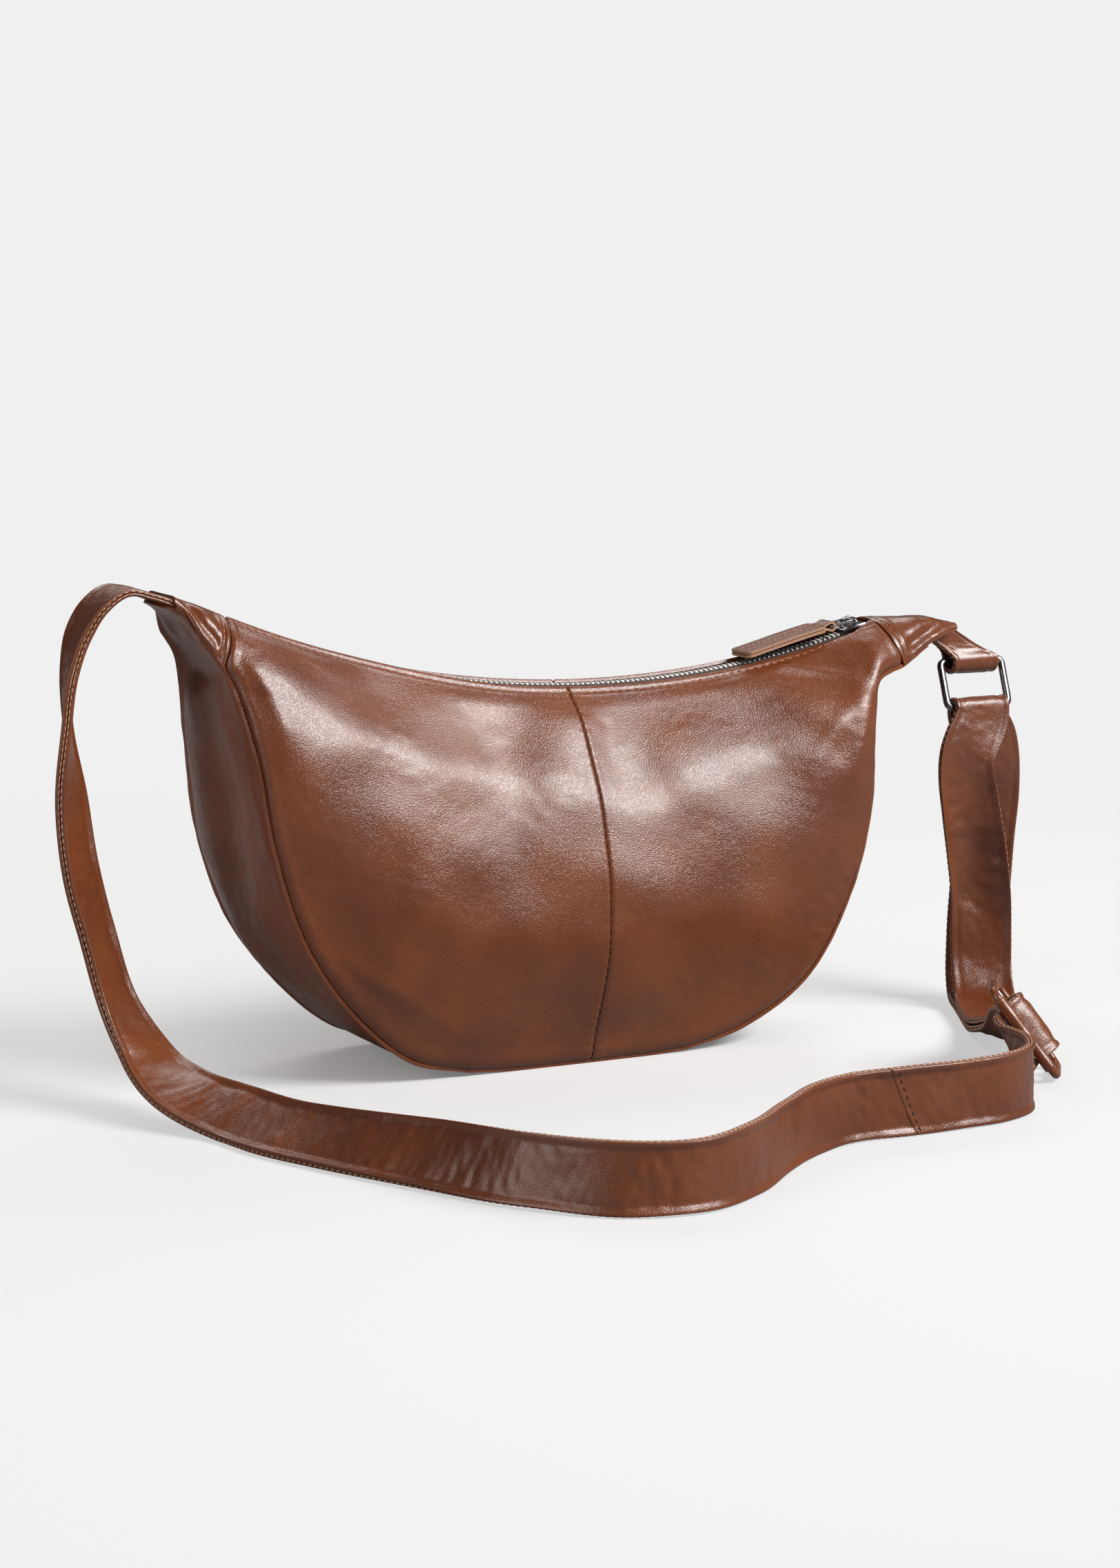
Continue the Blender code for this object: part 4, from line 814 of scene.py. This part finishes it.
# x and y of the lower edge where it stands on the floor, and the way of its width
standingShares = (
    (-1.085, -0.345, (0.82, 0.16, 0.55)), (-1.055, -0.44, (0.78, 0.24, 0.57)),
    (-1, -0.535, (0.7, 0.32, 0.64)), (-0.872, -0.711, (0.53, 0.28, 0.8)),
    (-0.739, -0.871, (0.2, 0.15, 0.97)), (-0.564, -0.982, (0.05, 0.07, 1)),
    (-0.426, -1, (0, 0.05, 1)), (-0.266, -0.95, (0, 0.02, 1)), (-0.117, -0.864, (0, 0, 1)),
    (0.016, -0.796, (0, 0, 1)), (0.144, -0.761, (0, 0, 1)),
)
spliceShares = (0.258, -0.764, (0, 0, 1))
tailStartShares = (
    (0.426, -0.764, (0, 0, 1)), (0.532, -0.757, (0, 0, 1)), (0.628, -0.725, (0, 0, 1)),
    (0.691, -0.664, (-0.05, 0.05, 1)), (0.734, -0.603, (-0.18, 0.15, 0.97)),
)
floorRunShares = (
    (0.91, -0.404, 0.034, (-0.72, 0.42, 0.5)), (0.974, -0.318, 0.014, (-0.86, 0.42, 0.2)),
    (1.037, -0.23, 0.001, (-0.92, 0.39, 0)), (1.096, -0.146, 0, (-0.91, 0.41, 0)),
)
frontRunShares = (
    (1.134, -0.093, 0.03, (-0.9, 0.43, 0)), (1.152, -0.064, 0.078, (-0.89, 0.45, 0)),
    (1.16, -0.052, 0.155, (-0.89, 0.45, 0)), (1.16, -0.05, 0.24, (-0.89, 0.45, 0)),
    (1.141, -0.053, 0.35, (-0.92, 0.38, 0)), (1.122, -0.054, 0.44, (-0.98, 0.2, 0)),
    (1.107, -0.053, 0.555, (-1, 0.05, 0)),
)
backRunShares = (
    (1.215, -0.012, 0.582, (-1, 0.05, 0)), (1.225, -0.009, 0.478, (-0.97, 0.2, 0)),
    (1.215, -0.002, 0.36, (-0.93, 0.35, 0)), (1.205, 0, 0.237, (-0.9, 0.43, 0)),
    (1.197, 0, 0.143, (-0.9, 0.43, 0)), (1.188, -0.009, 0.063, (-0.9, 0.43, 0)),
    (1.17, -0.036, 0.014, (-0.9, 0.43, 0)), (1.139, -0.086, 0.001, (-0.9, 0.43, 0)),
)
ringTop = byShares(*strap["ringShares"])
ringLean = math.radians(strap["ringLean"])
ringDown = np.array([0, -math.sin(ringLean), -math.cos(ringLean)])


def standing(shares):
    x, y, across = shares
    across = unit(across)
    rise = strap["floorGap"] + strap["thickness"] / 2 * math.sqrt(1 - across[2] ** 2)
    edge = byShares(x, 0, y * strap["reach"]) + rise * above
    return edge + across * strap["width"] / 2, across, strap["width"]


def hanging(shares):
    x, y, height, across = shares
    flat = strap["thickness"] / 2 + strap["floorGap"]
    return byShares(x, height, y * strap["reach"]) + flat * above, unit(across), strap["width"]


adjuster = {
    "shares": (0.787, -0.557),
    "across": (-0.48, 0.38, 0.79),
    "along": (0.572, 0.819, -0.046),
    "length": 0.048,
    "spacing": 0.014,
    "bar": 0.0030,
    "thickness": 0.0024,
    "corner": 0.0045,
    "coverHalfSizes": (0.0021, 0.0018),
    "middleHalfSizes": (0.0015, 0.0012),
    "sleeveWall": 0.0011,
    "sleeveLength": 0.038,
}


def adjusterFrame():
    across = unit(adjuster["across"])
    along = np.array(adjuster["along"])
    along = unit(along - across * np.dot(along, across))
    front = np.cross(along, across)
    height = adjuster["length"] / 2 * across[2] + adjuster["thickness"] / 2 * abs(front[2])
    height += adjuster["bar"] / 2 * abs(along[2]) + strap["floorGap"]
    height += 2 * adjuster["spacing"] * max(-along[2], 0)
    x, y = adjuster["shares"]
    return byShares(x, 0, y * strap["reach"]) + height * above, across, along, front


def weaveRadii():
    # of the band's turns round the three bars, and of its second turn round the middle one
    half = strap["thickness"] / 2
    sleeved = math.hypot(adjuster["bar"] / 2 + bag["gap"], adjuster["thickness"] / 2 + bag["gap"])
    corner = math.hypot(adjuster["bar"], adjuster["thickness"]) / 2
    wrap = corner + bag["gap"] + half
    near = sleeved + adjuster["sleeveWall"] + strap["weaveGap"] + half
    return near, wrap + 2 * half + strap["weaveGap"], corner + strap["weaveGap"] + half, wrap


def arcRows(middle, radius, start, end, count, u, v, across, width=strap["width"]):
    turns = np.radians(np.linspace(start, end, count + 1))
    return [(middle + radius * (u * math.cos(turn) + v * math.sin(turn)), across, width) for turn in turns]


def weaveRows():
    place, across, along, front = adjusterFrame()
    near, middle, far, _ = weaveRadii()
    first = math.degrees(math.asin((near + middle) / adjuster["spacing"]))
    second = math.degrees(math.asin((middle + far) / adjuster["spacing"]))
    rows = []
    arcs = ((near, -100, first - 90, 3), (middle, first + 90, 90 - second, 5), (far, -90 - second, -75, 3))
    for number, arc in enumerate(arcs):
        rows += arcRows(place + along * number * adjuster["spacing"], *arc, along, front, across)
    return rows


def wrapRows():
    place, across, along, front = adjusterFrame()
    _, _, far, wrap = weaveRadii()
    under = far + strap["thickness"] + strap["layerGap"]
    rows = []
    for number, depth in ((2.15, under), (1.75, (under + wrap) / 2)):
        rows.append((place + along * number * adjuster["spacing"] - front * depth, across, strap["width"]))
    return rows + arcRows(place + along * adjuster["spacing"], wrap, -80, -290, 8, along, front, across)


def secondLayer(rows):
    # the same run, one layer higher
    step = strap["thickness"] + strap["layerGap"]
    ways = np.gradient(np.array([row[0] for row in rows]), axis=0)
    return [
        (place + unit(np.cross(way, across)) * step, across, width)
        for (place, across, width), way in zip(rows, ways)
    ]


def bandProfile(width, thickness):
    # round the band from the left of its upper face: two folded edges with a groove between them
    radius = thickness / 4
    half = width / 2
    turns = np.radians(np.linspace(90, -70, 9))
    right = [(half - radius + radius * math.cos(turn), radius + radius * math.sin(turn)) for turn in turns]
    right += [(half - 2.1 * radius, 0)] + [(x, -z) for x, z in reversed(right)]
    face = np.linspace(-half + radius, half - radius, 25)[1:-1]
    dip = 0.00034 * (hill(face - half + 0.0033, 0.0009) + hill(face + half - 0.0033, 0.0009))
    upper = list(zip(face, thickness / 2 - dip))
    lower = list(zip(face[::-1], dip - thickness / 2))
    return np.array(upper + right + lower + [(-x, z) for x, z in reversed(right)])


class Band:
    # a band along rows of place, width direction and width, laid out as a grid of sections
    def __init__(self, rows, thickness, step, creases, seed, sheared=False, profile=None, puff=(), cups=()):
        line = SmoothLine([(*place, *across) for place, across, _ in rows], 3)
        total = line.knots[-1]
        self.lengths = np.linspace(0, total, max(4, int(total / step)))
        row, slope = line.at(self.lengths)
        self.centres, across = row[:, :3], row[:, 3:]
        self.along = unit(slope[:, :3])
        if not sheared:
            across = across - self.along * (across * self.along).sum(-1, keepdims=True)
        self.across = unit(across)
        self.up = unit(np.cross(self.along, self.across))
        widths = np.interp(self.lengths, line.knots, [width for _, _, width in rows])
        base = rows[len(rows) // 2][2]
        ring = bandProfile(base, thickness) if profile is None else profile
        sideways = ring[None, :, 0] * (widths / base)[:, None]
        lift = ring[None, :, 1] + 0 * sideways
        if puff:
            edge = ease(np.abs(ring[None, :, 0]), base / 2 - 0.0046, base / 2 - 0.0012)
            lift *= 1 + np.interp(self.lengths, *puff)[:, None] * edge
        if cups:
            lift += np.interp(self.lengths, line.knots, cups)[:, None] * (1 - (2 * sideways / base) ** 2)
        level = np.sign(ring[None, :, 1]) * 0.03 + 0 * lift
        where = np.stack([self.lengths[:, None] + 0 * lift, sideways * 0.8, level], -1)
        busy = 0.35 + ease(ripples(where, 0.06, seed + 1), -0.3, 1.2)
        inner = creases * ease(base / 2 - np.abs(sideways), 0.0008, 0.005)
        lift += 0.9 * busy * inner * ripples(where, 0.0070, seed + 2, (1.5, 0.6, 1), 24)
        lift += 0.4 * inner * ripples(where, 0.0045, seed + 5, (1.3, 0.8, 1), 20)
        lift += 2.0 * inner * ripples(where, 0.028, seed + 3, (1.4, 0.8, 1))
        sideways = sideways * (1 - 60 * creases * (1.2 + ripples(where * toRight, 0.04, seed + 4)))
        self.sideways, self.ring = sideways, ring
        self.points = self.centres[:, None] + self.across[:, None] * sideways[..., None]
        self.points += self.up[:, None] * lift[..., None]
        self.points[..., 2] = np.maximum(self.points[..., 2], 0.0002)  # nothing sinks into the floor

    def cut(self, end, normal):
        # the section at one end is moved along the band into the plane with this normal
        index, step = (0, 1) if end == "start" else (-1, -1)
        way = self.along[index]
        for number in range(24):
            section = index + step * number
            offset = self.points[section] - self.centres[section]
            shift = (offset @ unit(normal)) / float(way @ unit(normal))
            self.points[section] -= way * shift[:, None] * (1 - number / 24)

    def normals(self):
        around = np.roll(self.points, -1, axis=1) - np.roll(self.points, 1, axis=1)
        normals = unit(np.cross(np.gradient(self.points, axis=0), around))
        return normals * np.sign((normals * (self.points - self.centres[:, None])).sum())

    def mesh(self, name, first=0, last=None, caps=True):
        return gridMesh(name, self.points[first:last], wrapColumns=True, caps=caps)

    def sewEdges(self, name, body, slot, pitch=0.0030, start=0.0, end=0.0):
        # two rows on each edge, one on either side of its groove
        rows = []
        for side, lift in ((-1, -1), (-1, 1), (1, -1), (1, 1)):
            half = np.abs(self.sideways).max(axis=1, keepdims=True) - 0.00012
            line = self.centres + self.across * side * half + self.up * lift * strap["stitchLift"]
            rows.append(spaced(line, self.across * side, pitch, start, end))
        return sew(name, rows, 0.0022, 0.00022, strapThread, body, slot, 0.1)


def tailRows():
    rows = [standing(shares) for shares in (spliceShares, *tailStartShares)] + weaveRows()
    floorRun = [hanging(shares) for shares in floorRunShares]
    rows += secondLayer(floorRun) + [hanging(shares) for shares in frontRunShares]
    radius = strap["ringWire"] / 2 + strap["weaveGap"] + strap["thickness"] / 2
    rows += arcRows(ringTop + ringDown * strap["ringHeight"], radius, 185, -5, 7, ahead, above, -toRight)
    return rows + [hanging(shares) for shares in backRunShares] + floorRun[::-1] + wrapRows()


def cupShare(x, y, z):
    # the nearer layer of the loop under the ring is hollow between its edges
    return float(x > 0.2 and y < -0.009) * ease(z, 0.02, 0.07) * (1 - ease(z, 0.108, 0.128))


def makeStrap():
    rows = [hanging(shares) for shares in hangingShares]
    rows += [standing(shares) for shares in (*standingShares, spliceShares)]
    main = Band(rows, strap["thickness"], strap["step"], 0.00015, 61, puff=strap["mainPuff"])
    main.cut("end", (1, 0, strap["slant"]))
    arch = int(np.searchsorted(main.lengths, strap["archLength"]))
    near, far = main.mesh("strap_arch", 0, arch + 1, False), main.mesh("strap_long", arch, None, False)
    for mesh, first, last in ((near, 0, arch + 1), (far, arch, None)):
        own = main.normals()[first:last].reshape(-1, 3)
        middle = mesh.polygons[len(mesh.polygons) // 2]
        if np.dot(middle.normal, own[middle.vertices[0]]) < 0:
            mesh.flip_normals()
        mesh.shade_smooth()
        mesh.normals_split_custom_set_from_vertices(own)
    archPiece = addPiece(near, strapLeather, None, "strap_main", ["strap_main", "strap_root"])
    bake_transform(archPiece)
    addPiece(far, strapLeather, "strap", "strap_main", ())
    main.sewEdges("strap_long_stitches", "strap", "strap_main", start=strap["archLength"])
    beyond = main.lengths[-1] - strap["archLength"]
    threads = main.sewEdges("strap_arch_stitches", None, "strap_main", end=beyond)
    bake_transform(threads)
    rows = tailRows()
    cups = [strap["cup"] * cupShare(*place) for place, _, _ in rows]
    tail = Band(rows, strap["thickness"], strap["step"], 0.00016, 71, puff=strap["tailPuff"], cups=cups)
    tail.cut("start", (1, 0, strap["slant"]))
    addPiece(tail.mesh("strap_doubled"), strapLeather, "strap", "strap_tail")
    tail.sewEdges("strap_doubled_stitches", "strap", "strap_tail")
    sewSplice(tail)


def sewSplice(band):
    # one slanting row of dark thread beside the splice, on both faces
    rows = []
    for sign in (1, -1):
        line = band.points[2][band.ring[:, 1] * sign > 0.0011] + band.along[2] * 0.0008
        around = np.repeat((band.up[2] * sign)[None], len(line), 0)
        rows.append(spaced(line[np.argsort(line[:, 2])], around, 0.0034, 0.001, 0.001))
    sew("splice_stitches", rows, 0.0024, 0.00028, darkThread, "strap", "strap_tail", 0.2)


def loopPath(halfWidth, height, corner):
    # a rounded rectangle, x across and fall downwards
    path = []
    for x, fall, start in ((1, height, 0), (-1, height, 90), (-1, 0, 180), (1, 0, 270)):
        centreX = x * (halfWidth - corner)
        centreFall = fall - corner if fall > 0 else corner
        for turn in np.radians(np.linspace(start, start + 90, 8)):
            path.append((centreX + corner * math.cos(turn), centreFall + corner * math.sin(turn)))
    dense = []
    for first, second in zip(np.array(path), np.array(path[1:] + path[:1])):
        pieces = max(1, int(math.dist(first, second) / 0.002))
        dense += [first + (second - first) * piece / pieces for piece in range(pieces)]
    return np.array(dense)


def tubeLoop(name, places, planeNormal, halfWide, halfDeep, sides, power):
    # a closed tube round a flat loop of places
    ways = unit(np.roll(places, -1, axis=0) - np.roll(places, 1, axis=0))
    outward = unit(np.cross(ways, planeNormal))[:, None]
    angles = np.linspace(0, 2 * np.pi, sides, endpoint=False)
    cos, sin = (np.sign(part) * np.abs(part) ** power for part in (np.cos(angles), np.sin(angles)))
    points = places[:, None] + outward * (halfWide * cos)[:, None] + planeNormal * (halfDeep * sin)[:, None]
    return gridMesh(name, points, wrapRows=True, wrapColumns=True)


def makeRing():
    flat = loopPath(strap["ringWidth"] / 2, strap["ringHeight"], strap["ringCorner"])
    places = ringTop + toRight * flat[:, :1] + ringDown * flat[:, 1:]
    wide, deep = 0.58 * strap["ringWire"], strap["ringWire"] / 2
    mesh = tubeLoop("ring_wire", places, np.cross(toRight, ringDown), wide, deep, 20, 0.85)
    addPiece(mesh, ringMetal, "strap", "strap_ring")


def makeAdjuster():
    place, across, along, front = adjusterFrame()
    halfLength = adjuster["length"] / 2 - adjuster["bar"] / 2
    flat = loopPath(halfLength, 2 * adjuster["spacing"], adjuster["corner"])
    places = place + across * flat[:, :1] + along * flat[:, 1:]
    mesh = tubeLoop("slide_cover", places, np.cross(across, along), *adjuster["coverHalfSizes"], 16, 0.8)
    addPiece(mesh, edgeLeather, "strap", "adjuster_frame")

    def rod(name, middle, span, sizes, angles, swell):
        wide, deep = sizes
        ring = along * np.cos(angles)[:, None] * wide + front * np.sin(angles)[:, None] * deep
        points = (middle + across * span[:, None])[:, None] + ring * swell[..., None]
        return gridMesh(name, points, wrapColumns=True, caps=True)

    span = np.linspace(-halfLength, halfLength, 40)
    angles = np.linspace(0, 2 * np.pi, 16, endpoint=False)
    middle = place + along * adjuster["spacing"]
    bar = rod("slide_middle_bar", middle, span, adjuster["middleHalfSizes"], angles, np.ones((40, 1)))
    addPiece(bar, gunmetal, "strap", "adjuster_frame", ())
    wall = bag["gap"] + adjuster["sleeveWall"]
    half = adjuster["sleeveLength"] / 2
    span = np.concatenate([[-half], np.linspace(-half + 0.0004, half - 0.0004, 50), [half]])
    angles = np.linspace(0, 2 * np.pi, 28, endpoint=False)
    swell = np.concatenate([[0.8], 1 + 0.03 * np.sin(np.linspace(0, 19, 50)), [0.8]])
    swell = swell[:, None] * (1 + 0.10 * hill(angles - 3.9, 0.25))
    sizes = (adjuster["bar"] / 2 + wall, adjuster["thickness"] / 2 + wall)
    addPiece(rod("slide_sleeve", place, span, sizes, angles, swell), edgeLeather, "strap", "adjuster_sleeve")


tab = {
    "shares": ((1.045, 0.862), (1.078, 0.840), (1.115, 0.816), (1.147, 0.797)),
    "slope": -0.19,
    "width": 0.0246,
    "topWidth": 0.0225,
    "thickness": 0.0024,
    "bore": 0.0038,
}


def makeTab():
    layer = (tab["thickness"] + bag["gap"]) / 2
    radius = tab["bore"] + tab["thickness"] / 2
    front = []
    for number, (x, z) in enumerate(tab["shares"]):
        part = number / len(tab["shares"])
        y = -layer - (radius - layer) * part**3
        width = tab["topWidth"] + (tab["width"] - tab["topWidth"]) * part
        front.append((byShares(x, z, y), (1, 0, tab["slope"] * (1 - part)), width))
    rows = front + arcRows(ringTop, radius, 170, 370, 8, ahead, above, toRight, tab["width"])
    rows += [(place * (toRight - ahead + above), across, width) for place, across, width in reversed(front)]
    band = Band(rows, tab["thickness"], 0.0010, 0.00005, 81, sheared=True)
    addPiece(band.mesh("tab_leather"), capLeather, "bag", "ring_tab")
    band.sewEdges("tab_stitches", "bag", "ring_tab", 0.0028, 0.012, 0.012)


pull = {
    "hingeLift": 0.0047,
    "tilt": 0.1167,
    "linkReach": 0.0116,
    "fold": 0.00194,
    "leather": 0.0013,
    "layer": 0.0008,
    "length": 0.048,
    "width": 0.0092,
    "neck": 0.005,
    "tipLift": 0.0046,
    "closedAngle": 0.27194,
}


def pullPlace(reach, depth):
    # a point of the pull, this far along the zip from its hinge and this far above its own middle
    start = pull["hingeLift"] + pull["linkReach"] * pull["tilt"] - pull["linkReach"] ** 2 / (2 * arcRadius)
    part = np.clip((reach - pull["linkReach"]) / pull["length"], 0, 1)
    middle = start + (pull["tipLift"] - start) * part + 0.0012 * math.sin(math.pi * part**0.7)
    return onArc(pull["closedAngle"] - reach / arcRadius, middle + depth)


def cutProfile(width, thickness):
    # a strip of leather with square cut edges, their corners barely rounded
    half, rise, corner = width / 2, thickness / 2, thickness * 0.12
    upper = [(x, rise) for x in np.linspace(-half + corner * 2, half - corner * 2, 9)]
    edge = [(half - corner, rise), (half, rise - corner), (half, 0)]
    edge += [(half, corner - rise), (half - corner, -rise)]
    return np.array(upper + edge + [(x, -z) for x, z in upper[::-1]] + [(-x, -z) for x, z in edge])


def makePull():
    reach, layer, leather = pull["linkReach"], pull["layer"], pull["leather"]
    across, width, neck = ahead, pull["width"], pull["neck"]
    tip = reach + pull["length"]
    shoulder = reach + 0.0024
    run = [(tip, width - leather), (tip - leather, width), (tip - 0.012, width), (tip - 0.026, width)]
    run += [(shoulder + 3 * leather, width), (shoulder + leather, neck)]
    rows = [(pullPlace(place, layer), across, size) for place, size in run]
    for angle in np.radians(np.linspace(60, 300, 9)):
        offset = pull["fold"] * math.cos(angle), pull["fold"] * math.sin(angle)
        rows.append((pullPlace(reach + offset[0], offset[1]), across, neck))
    rows += [(pullPlace(place, -layer), across, size) for place, size in reversed(run)]
    profile = cutProfile(width, leather)
    band = Band(rows, leather, 0.0007, 0.00003, 91, profile=profile)
    mesh = band.mesh("pull_strip")
    addPiece(mesh, pullLeather, "zip_pull", "pull_tab")
    mesh.materials.append(cutEdge)
    edges = {9, 10, 11, 12, 22, 23, 24, 25}  # the corners of the profile where an edge face starts
    for face in mesh.polygons:
        corners = [corner % len(profile) for corner in face.vertices]
        onEdge = min(corners) in edges and max(corners) - min(corners) < 3
        face.material_index = int(len(corners) > 4 or onEdge)
    mesh.set_sharp_from_angle(angle=math.radians(38))
    stop = int(np.searchsorted(band.lengths, pull["length"] - 0.006))
    outside = unit(onArc(pull["closedAngle"], 0.1) - onArc(pull["closedAngle"]))
    up = band.up[3:stop] * np.sign((band.up[3:stop] * outside).sum(-1, keepdims=True))
    found = []
    for side in (-1, 1):
        line = band.centres[3:stop] + band.across[3:stop] * side * (width / 2 - 0.0016)
        found.append(spaced(line + up * leather / 2, up, 0.0028))
    sew("pull_stitches", found, 0.0020, 0.00022, panelThread, "zip_pull", "pull_tab")


makePanels()
makeGusset()
makeCaps()
for node in ("lining_front", "lining_back", "lining_gusset"):
    paint(node, liningCloth)
print("body made")
makeTeeth()
makeTapes()
makeSlider()
print("zip made")
makeStrap()
makeRing()
makeAdjuster()
makeTab()
makePull()
print("strap and puller made")


# The stage

stage = {
    "floor": 0.83,
    "white": 0.871,
    "bounce": 0.28,
    "skyLight": 0.07,
    # how much of the lit floor, and so of the shadow, shows near the bag, and where that fades out
    "shadowShares": (0.36, 0.46),
    "shadowReaches": ((0.30, 0.95), (0.06, 0.24)),
    "target": (0, 0, 0.1),
    # the way to each lamp, its distance, size, power and tint
    "key": ((0.46, -0.54, 0.55), 3.4, (2.0, 1.15), 158.0, (1.0, 1.0, 1.0)),
    "fill": ((-0.95, -0.25, 0.35), 3.0, (1.4, 2.0), 26.0, (1.0, 0.90, 0.86)),
    "back": ((0.25, 0.70, 0.72), 3.2, (2.6, 1.2), 34.0, (1.0, 0.98, 0.96)),
    "cameraPlace": (-0.74454, -1.46525, 0.372),
    "cameraWay": (0.44825, 0.88099, -0.15144),
    "lens": 85,
    "sensor": 36,
}
white = rgba((stage["white"],) * 3)


def facing(obj, place, way):
    obj.location = place
    obj.rotation_euler = way.to_track_quat("-Z", "Y").to_euler()


def makeFloor():
    # even white for the camera, with the bag's shadow only near the bag
    points = np.array([[(x, y, 0.0) for y in (-8.0, 12.0)] for x in (-10.0, 10.0)])
    obj = placed("floor", gridMesh("floor", points))
    made = Finish("floor_paper", Roughness=0.95, Specular_IOR_Level=0.1)
    seen = made.node("LightPath")
    away = made.node("VectorMath", {"operation": "LENGTH"}, {0: made.node("TexCoord", out=3)}, 1)
    fades = []
    for share, (low, high) in zip(stage["shadowShares"], stage["shadowReaches"]):
        sockets = {"Value": away, "From Min": low, "From Max": high, "To Min": share, "To Max": 0.0}
        fades.append(made.node("MapRange", {"interpolation_type": "SMOOTHSTEP"}, sockets))
    factor = seen * (1 - (fades[0] + fades[1]))
    made.set("Base Color", made.mixed(seen, rgba((stage["bounce"],) * 3), rgba((stage["floor"],) * 3)))
    glow = made.node("Emission", {}, {"Color": white, "Strength": 1.0})
    mixShaders(made.tree, factor.socket, made.shader.outputs[0], glow.socket, "Material Output")
    obj.data.materials.append(made.material)


def makeLight(name, way, distance, size, power, tint):
    light = bpy.data.lights.new(name, "AREA")
    light.shape = "RECTANGLE"
    light.size, light.size_y = size
    light.energy = power
    light.color = tint
    offset = Vector(way).normalized() * distance
    facing(placed(name, light), Vector(stage["target"]) + offset, -offset)


def makeWorld():
    world = bpy.data.worlds.new("studio")
    bpy.context.scene.world = world
    world.use_nodes = True
    tree = world.node_tree
    sky, shown = tree.nodes["Background"], tree.nodes.new("ShaderNodeBackground")
    for node, colour, strength in ((sky, (1, 1, 1, 1), stage["skyLight"]), (shown, white, 1.0)):
        node.inputs[0].default_value = colour
        node.inputs[1].default_value = strength
    path = tree.nodes.new("ShaderNodeLightPath")
    mixShaders(tree, path.outputs["Is Camera Ray"], sky.outputs[0], shown.outputs[0], "World Output")


def makeCamera():
    camera = bpy.data.cameras.new("camera")
    camera.lens = stage["lens"]
    camera.sensor_width = stage["sensor"]
    obj = placed("camera", camera)
    facing(obj, stage["cameraPlace"], Vector(stage["cameraWay"]))
    bpy.context.scene.camera = obj


makeFloor()
for lamp in ("key", "fill", "back"):
    makeLight(lamp, *stage[lamp])
makeWorld()
makeCamera()
bpy.context.scene.view_settings.view_transform = "Standard"
print("stage made")
